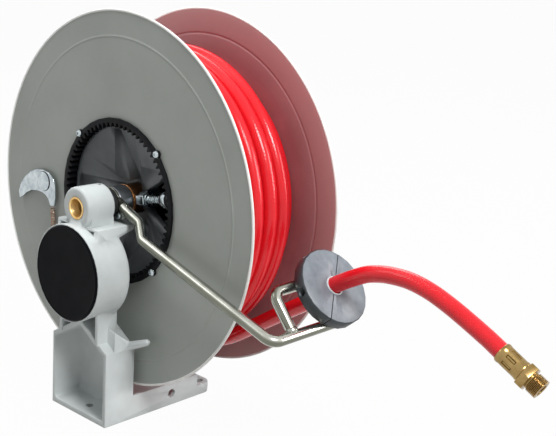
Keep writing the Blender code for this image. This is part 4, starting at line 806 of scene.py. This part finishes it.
def wound_hose():
    """The outer layer turn by turn, each turn a little off true, over the ribbed top of the layer beneath."""
    points = []
    steps = WOUND_TURNS * WOUND_STEPS
    for k in range(-4, steps - 5):
        angle = WOUND_FIRST + 2 * math.pi * (WOUND_TURNS - k / WOUND_STEPS)
        waver = WAVER * math.sin(2.3 * angle) + SLOW_WAVER * math.sin(0.7 * angle + 1.1)
        # Both ends tuck in, the last beneath the strand that leaves the winding
        tuck = max(0.0, (k - steps + LAST_TUCK) / TUCK_STEPS, (FIRST_TUCK - k) / TUCK_STEPS)
        radius = WOUND_RADIUS + waver - WOUND_SINK - TUCK_DEPTH * tuck * tuck
        x = WOUND_START + WOUND_PITCH * k / WOUND_STEPS + WAVER * math.sin(1.9 * angle + 0.4)
        points.append(place(x, radius * math.cos(angle), radius * math.sin(angle)))
    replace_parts(hose("wound_turns", points, "drum"), "wound_hose")
    side = DISC_SHEET + INNER_SIDE_GAP
    pitch = (DRUM_WIDTH - 2 * side + DISC_SHEET) / INNER_RIBS
    inner = [(side, CORE_RADIUS + GAP)]
    for k in range(INNER_RIBS):
        for step in range(9):
            angle = math.pi * step / 8
            inner.append((side + pitch * (k + (1 - math.cos(angle)) / 2),
                          INNER_VALLEY + INNER_RIB * math.sin(angle)))
    inner.append((side + pitch * INNER_RIBS, CORE_RADIUS + GAP))
    under = turned("inner_turns", inner, "hose", "drum", steps=144, ease=0.0)
    # The lay stays zero here, so this layer, seen only in the grooves, has a plain skin without braid
    under.data.attributes.new("lay", "FLOAT_VECTOR", "CORNER")
    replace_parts(under, "wound_core")


def pawl():
    """The pawl on its rivet, and the tension spring from the disc's post up to it."""
    refined("pawl", "bright", ease=0.0005)
    refined("pawl_washer", "bright", ease=0.0004)
    dome = [(-RIVET_HEAD * math.cos(a), RIVET_RADIUS * math.sin(a))
            for a in (math.radians(15 * k) for k in range(7))]
    dome.insert(6, (-0.0009, RIVET_RADIUS - RIVET_EDGE))
    outline = [*dome, (0.0, RIVET_SHANK), (RIVET_LENGTH, RIVET_SHANK), (RIVET_LENGTH, 0.0)]

    # Painted shade: the head's outer edge takes the near-black finish as a dark outline round the dome
    def painted_shade_edge(x, radius):
        return radius > RIVET_RADIUS - RIVET_EDGE - 0.0001
    rivet = turned("pawl_rivet_head", outline, ("bright", "oxide"), "drum",
                   PAWL @ Matrix.Translation((RIVET_SEAT, 0, 0)), steps=48, ease=0.0, second=painted_shade_edge)
    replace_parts(rivet, "pawl_rivet")
    refined("spring_post", "zinc", ease=0.0003)
    top = place(PAWL_MIDDLE, *SPRING_TOP)
    foot = place(PAWL_MIDDLE, *SPRING_FOOT)
    lead = (foot - top).normalized() * SPRING_LEAD
    points = [top, top + lead * 0.8]
    for k in range(SPRING_COILS * COIL_POINTS + 1):
        angle = 2 * math.pi * k / COIL_POINTS
        spoke = Vector((math.cos(angle), math.sin(angle), 0.0)) * SPRING_RADIUS
        points.append((top + lead).lerp(foot - lead, k / SPRING_COILS / COIL_POINTS) + spoke)
    points += [foot - lead * 0.8, foot]
    coil = piece("tension_spring", tube_mesh(points, SPRING_WIRE, sides=10), "spring", body=None)
    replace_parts(coil, "pawl_spring")
    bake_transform(coil)


def guide_arm():
    """The bent rod and its loop, the flat plate round the axle and the weld bead that closes the loop."""
    collar_x = PLATE_START + PLATE_THICKNESS / 2
    rise = LOOP_RISE * LOOP_HEIGHT
    foot_left = Vector((LOOP_LEFT, LOOP_Y, LOOP_Z))
    foot_right = Vector((LOOP_RIGHT, LOOP_Y, LOOP_Z))
    corners = [(collar_x, -0.0225, -0.0012), (collar_x, -0.0516, -0.0123), (ARM_PLANE, -0.068, -0.0262),
               (ARM_PLANE, LOOP_Y, LOOP_Z), foot_right, foot_right + rise, foot_left + rise,
               foot_left + LOOP_RISE * ROD_RADIUS / 2]
    path = [CENTRE + point for point in rounded_path(corners, ROD_BEND, steps=12)]
    rod = tube("guide_rod", path, ROD_RADIUS, "bar", "arm", sides=28)
    laid(rod, path, around=1.0, along=STREAK_LENGTH)
    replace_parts(rod, "guide_arm")
    bore = AXLE_RADIUS + GAP
    plate_end = PLATE_START + PLATE_THICKNESS
    turned("guide_plate", [(PLATE_START, bore), (PLATE_START, SLEEVE_RADIUS), (plate_end, SLEEVE_RADIUS),
                           (plate_end, bore)], "zinc", "arm", ease=0.0005)
    guide_tab()
    bead = [(-WELD_LENGTH / 2, 0.0), (-0.003, 0.0055), (-0.0012, WELD_RADIUS), (0.0012, WELD_RADIUS),
            (0.003, 0.0058), (WELD_LENGTH / 2, 0.0)]
    seam = CENTRE + foot_left + LOOP_RISE * WELD_RISE
    turned("loop_weld", bead, "zinc", "arm", facing(seam, LOOP_RISE), steps=32, ease=0.0008)
    refined("arm_lock_bolt", "bright", ease=0.0005)


def guide_tab():
    """The plate's flat tab, which reaches out to the rod. It lies just inside the plate's two faces."""
    tab = bmesh.new()
    outline = [(-0.0135, 0.011), (-0.030, 0.0035), (-0.033, -0.006), (-0.0245, -0.015), (-0.0135, -0.0145)]
    # eased() rounds no corner below zero, so the outline is lifted above it meanwhile
    lift = 1.0
    soft = eased([(y + lift, z + lift) for y, z in outline], 0.003)
    face = tab.faces.new([tab.verts.new((PLATE_START + 0.0001, y - lift, z - lift)) for y, z in soft])
    raised = bmesh.ops.extrude_face_region(tab, geom=[face])
    bmesh.ops.translate(tab, vec=(PLATE_THICKNESS - 0.0002, 0, 0),
                        verts=[v for v in raised["geom"] if isinstance(v, bmesh.types.BMVert)])
    bmesh.ops.recalc_face_normals(tab, faces=tab.faces)
    rims = [edge for edge in tab.edges if edge.calc_face_angle() > math.radians(50)]
    bmesh.ops.bevel(tab, geom=rims, offset=0.0004, affect="EDGES", segments=2, profile=0.5, material=-1)
    tab.transform(AXLE)
    piece("guide_plate_tab", tab, "zinc", "arm")


def hose_stop():
    """Two moulded halves that clamp the hose, a collar round it, and a screw through each pair of lugs."""
    def dark_rim(centre, normal):
        # Faces not turned along the stop's axis keep the dark rubber, and the broad faces take the painted
        # sheen
        return abs(normal.dot(STOP_AXIS)) < 0.9
    for node in ("stop_half_near", "stop_half_far"):
        refined(node, ("stop_face", "stop_rim"), ease=0.0008, second=dark_rim)
    collar = [(STOP_THICKNESS - COLLAR_SINK, COLLAR_BORE), (STOP_THICKNESS + COLLAR_PROUD, COLLAR_BORE),
              (STOP_THICKNESS + COLLAR_PROUD, COLLAR_RADIUS - COLLAR_TAPER),
              (STOP_THICKNESS - COLLAR_SINK, COLLAR_RADIUS)]
    turned("stop_collar", collar, "collar", "arm", STOP, steps=64, ease=0.0004)
    refined("stop_screw_upper", "oxide", ease=0.0004)
    refined("stop_screw_lower", "oxide", ease=0.0004)


def strand():
    """The hose from the winding's underside out to the stop."""
    clear = WOUND_RADIUS + 2 * HOSE_RADIUS + STRAND_CLEARANCE
    wrap = []
    for k in range(-2, 6):
        angle = math.radians(STRAND_FIRST - STRAND_STEP * k)
        # It comes up from between the turns, with its end hidden in the winding
        radius = clear - STRAND_TUCK * max(0.0, (2 - k) / 4) ** 1.5
        wrap.append((STRAND_X - STRAND_LEAN * k, radius * math.cos(angle), radius * math.sin(angle)))
    along = [(0.1000, -0.0900, -0.1610), (0.0920, -0.1374, -0.1315), (0.0850, -0.1750, -0.1068),
             (0.0800, -0.2134, -0.0818)]
    route = [place(*point) for point in wrap + along]
    route += [STOP_BACK - STOP_AXIS * STRAIGHT_IN, STOP_BACK + STOP_AXIS * (STOP_THICKNESS / 2 - GAP)]
    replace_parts(hose("hose_to_stop", smooth_path(route, spacing=0.006), "arm"), "hose_strand")


FREE_ROUTE = [
    (0.0790, -0.2960, -0.0250), (0.0792, -0.3135, -0.0190), (0.0795, -0.3310, -0.0160),
    (0.0800, -0.3545, -0.0155), (0.0805, -0.3785, -0.0198), (0.0812, -0.4023, -0.0280),
    (0.0820, -0.4260, -0.0383), (0.0828, -0.4433, -0.0466),
]


def outlet():
    """The short length beyond the stop, its crimped ferrule and the male fitting."""
    start = STOP_BACK + STOP_AXIS * (STOP_THICKNESS / 2)
    aim = (Vector(FITTING_AIM) - Vector(FITTING_START)).normalized()
    # It runs straight out of the stop and straight into the ferrule
    route = [start, start + STOP_AXIS * STRAIGHT_OUT, *[place(*point) for point in FREE_ROUTE],
             place(*FITTING_START) - aim * FERRULE_STRAIGHT, place(*FITTING_START) + aim * FERRULE_INSERT]
    path = smooth_path(route, spacing=0.004)
    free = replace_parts(hose("outlet_hose", path, "arm"), "hose_free")
    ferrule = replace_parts(crimped_ferrule(), "hose_ferrule")
    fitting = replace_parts(male_fitting(), "outlet_fitting")


def crimped_ferrule():
    """A brass ferrule with a ring of oblong crimp marks pressed into it."""
    outline = [(-FERRULE_BACK, FERRULE_MOUTH), (-FERRULE_BACK, FERRULE_RADIUS - 0.0003), (0.001, FERRULE_LIP),
               (0.0035, FERRULE_LIP), (0.0045, FERRULE_RADIUS), (CRIMP_START - 0.001, FERRULE_RADIUS),
               (CRIMP_START, FERRULE_RADIUS), (CRIMP_END, FERRULE_RADIUS),
               (CRIMP_END + 0.001, FERRULE_RADIUS), (FERRULE_LENGTH - 0.004, FERRULE_RADIUS),
               (FERRULE_LENGTH - 0.003, FERRULE_LIP), (FERRULE_LENGTH - 0.001, FERRULE_LIP),
               (FERRULE_LENGTH, FERRULE_RADIUS - 0.0001), (FERRULE_LENGTH, 0.0), (FERRULE_FLOOR, 0.0),
               (FERRULE_FLOOR, FERRULE_MOUTH)]
    shape = spun(outline, steps=72, ease=0.0)
    marks = []
    for face in shape.faces:
        middle = face.calc_center_median()
        turn = math.degrees(math.atan2(middle.z, middle.y)) % CRIMP_SPACING
        outside = math.hypot(middle.y, middle.z) > FERRULE_RADIUS - 0.0005
        if outside and CRIMP_START < middle.x < CRIMP_END and turn < CRIMP_SPAN:
            marks.append(face)
    borders = bmesh.ops.inset_region(shape, faces=marks, thickness=CRIMP_BORDER, depth=-CRIMP_DEPTH,
                                     use_even_offset=True)
    for face in borders["faces"]:
        face.material_index = 1
    shape.transform(FITTING)
    return piece("crimped_ferrule", shape, ("brass", "tarnish"), "arm")


def male_fitting():
    """A chamfered hexagon with a groove behind the male thread, and the bore through it."""
    hex_start = FERRULE_LENGTH + GAP
    hex_end = hex_start + HEX_LENGTH
    end = hex_end + THREAD_LENGTH
    outline = [(hex_end - 0.001, FITTING_BORE), (hex_end - 0.001, THREAD_GROOVE),
               (hex_end + 0.0018, THREAD_GROOVE)]
    x = hex_end + 0.0026
    while x < end - 0.0012:
        outline += [(x - 0.0002, THREAD_ROOT), (x + 0.0006, THREAD_CREST), (x + 0.0009, THREAD_CREST)]
        x += THREAD_PITCH * 0.8
    outline += [(end - 0.0004, THREAD_ROOT), (end, THREAD_ROOT - 0.0006), (end, FITTING_BORE + 0.0006),
                (end - 0.0006, FITTING_BORE)]
    shape = spun(outline, steps=64, ease=0.00012)
    hexagon = bmesh.new()
    bmesh.ops.create_circle(hexagon, cap_ends=True, radius=HEX_FLATS / math.sqrt(3), segments=6)
    raised = bmesh.ops.extrude_face_region(hexagon, geom=hexagon.faces[:])
    bmesh.ops.translate(hexagon, vec=(0, 0, HEX_LENGTH),
                        verts=[v for v in raised["geom"] if isinstance(v, bmesh.types.BMVert)])
    bmesh.ops.recalc_face_normals(hexagon, faces=hexagon.faces)
    bmesh.ops.bevel(hexagon, geom=hexagon.edges[:], offset=HEX_EDGE, affect="EDGES", segments=3, profile=0.5,
                    material=-1)
    hexagon.transform(Matrix.Translation((hex_start, 0, 0)) @ Matrix.Rotation(math.radians(90), 4, "Y")
                      @ Matrix.Rotation(math.radians(30), 4, "Z"))
    mesh = bpy.data.meshes.new("hexagon")
    hexagon.to_mesh(mesh)
    hexagon.free()
    shape.from_mesh(mesh)
    bpy.data.meshes.remove(mesh)
    shape.transform(FITTING)
    return piece("male_fitting", shape, "brass", "arm")


# Studio

# The share of its own white that the floor shows the camera: the rest takes the object's shadow
FLOOR_GLOW = 0.97
FLOOR_REACH = 12
WORLD_FILL = 0.17
# The floor under the pedestal's bolt hole
FLOOR_HOLE = (-0.067, 0.0, 0.0)
FLOOR_HOLE_SHADE = 0.012
# Each lamp's place, size in metres and power in watts, and the point that all of them face
LAMPS = {"key": ((-0.45, -2.05, 2.1), 0.9, 52), "left_fill": ((-1.1, 0.8, 1.6), 0.9, 4),
         "right_fill": ((1.6, -1.8, 0.9), 1.2, 25), "back_fill": ((1.6, 1.2, 1.9), 1.6, 16),
         "overhead": ((-0.15, 0.3, 2.3), 1.4, 34)}
LAMP_TARGET = Vector((0.0, -0.1, 0.22))


def studio():
    """A pale floor and a white surround, lit by a broad key light, three soft fills and a wash from above."""
    make_floor()
    make_surround()
    for name, (spot, size, power) in LAMPS.items():
        data = bpy.data.lights.new(name, "AREA")
        data.shape = "DISK"
        data.size = size
        data.energy = power
        lamp = bpy.data.objects.new(name, data)
        lamp.location = spot
        # The wash from above lights the tops and leaves no hot line along the bar
        lamp.visible_glossy = name != "overhead"
        lamp.rotation_euler = (LAMP_TARGET - Vector(spot)).to_track_quat("-Z", "Y").to_euler()
        bpy.context.scene.collection.objects.link(lamp)
    bpy.context.scene.view_settings.view_transform = "Standard"


def seen_white(tree):
    """A light path node, and a node that is one where the eye or a reflection meets what has this tree."""
    rays = add(tree, "ShaderNodeLightPath")
    seen = add(tree, "ShaderNodeMath", {0: rays.outputs["Is Camera Ray"], 1: rays.outputs["Is Glossy Ray"]},
               operation="ADD", use_clamp=True)
    return rays, seen


def make_floor():
    """White studio paper, which glows for the eye so that it fades into the surround."""
    floor = bmesh.new()
    bmesh.ops.create_grid(floor, x_segments=1, y_segments=1, size=FLOOR_REACH)
    mesh = bpy.data.meshes.new("floor")
    floor.to_mesh(mesh)
    floor.free()
    ground = bpy.data.objects.new("floor", mesh)
    bpy.context.scene.collection.objects.link(ground)
    paper = bpy.data.materials.new("white_studio_paper")
    paper.use_nodes = True
    tree = paper.node_tree
    tree.nodes.clear()
    _, seen = seen_white(tree)
    share = add(tree, "ShaderNodeMath", {0: seen.outputs[0], 1: FLOOR_GLOW}, operation="MULTIPLY")
    # No glow comes up through the bolt hole: the floor under the pedestal is in its shadow
    where = add(tree, "ShaderNodeTexCoord").outputs["Object"]
    apart = add(tree, "ShaderNodeVectorMath", {0: where, 1: FLOOR_HOLE}, operation="DISTANCE")
    clear = add(tree, "ShaderNodeMath", {0: apart.outputs["Value"], 1: FLOOR_HOLE_SHADE},
                operation="GREATER_THAN")
    share = add(tree, "ShaderNodeMath", {0: share.outputs[0], 1: clear.outputs[0]}, operation="MULTIPLY")
    matt = add(tree, "ShaderNodeBsdfDiffuse", {"Color": linear("B4B4B2")})
    glow = add(tree, "ShaderNodeEmission", {"Color": (1, 1, 1, 1), "Strength": 1.0})
    mixed = add(tree, "ShaderNodeMixShader", {0: share.outputs[0], 1: matt.outputs[0], 2: glow.outputs[0]})
    add(tree, "ShaderNodeOutputMaterial", {"Surface": mixed.outputs[0]})
    mesh.materials.append(paper)


def make_surround():
    """A world that looks white, and gives the reel only a weak fill."""
    world = bpy.data.worlds.new("white_surround")
    bpy.context.scene.world = world
    world.use_nodes = True
    tree = world.node_tree
    tree.nodes.clear()
    rays, seen = seen_white(tree)
    seen = add(tree, "ShaderNodeMath", {0: seen.outputs[0], 1: rays.outputs["Is Transmission Ray"]},
               operation="ADD", use_clamp=True)
    fill = add(tree, "ShaderNodeBackground", {"Color": (1, 1, 1, 1), "Strength": WORLD_FILL})
    white = add(tree, "ShaderNodeBackground", {"Color": (1, 1, 1, 1), "Strength": 1.0})
    mixed = add(tree, "ShaderNodeMixShader", {0: seen.outputs[0], 1: fill.outputs[0], 2: white.outputs[0]})
    add(tree, "ShaderNodeOutputWorld", {"Surface": mixed.outputs[0]})


make_camera()
FINISHES = make_finishes()
outlet()
strand()
wound_hose()
discs()
screws()
stand()
hub()
swivel()
pawl()
guide_arm()
hose_stop()
studio()
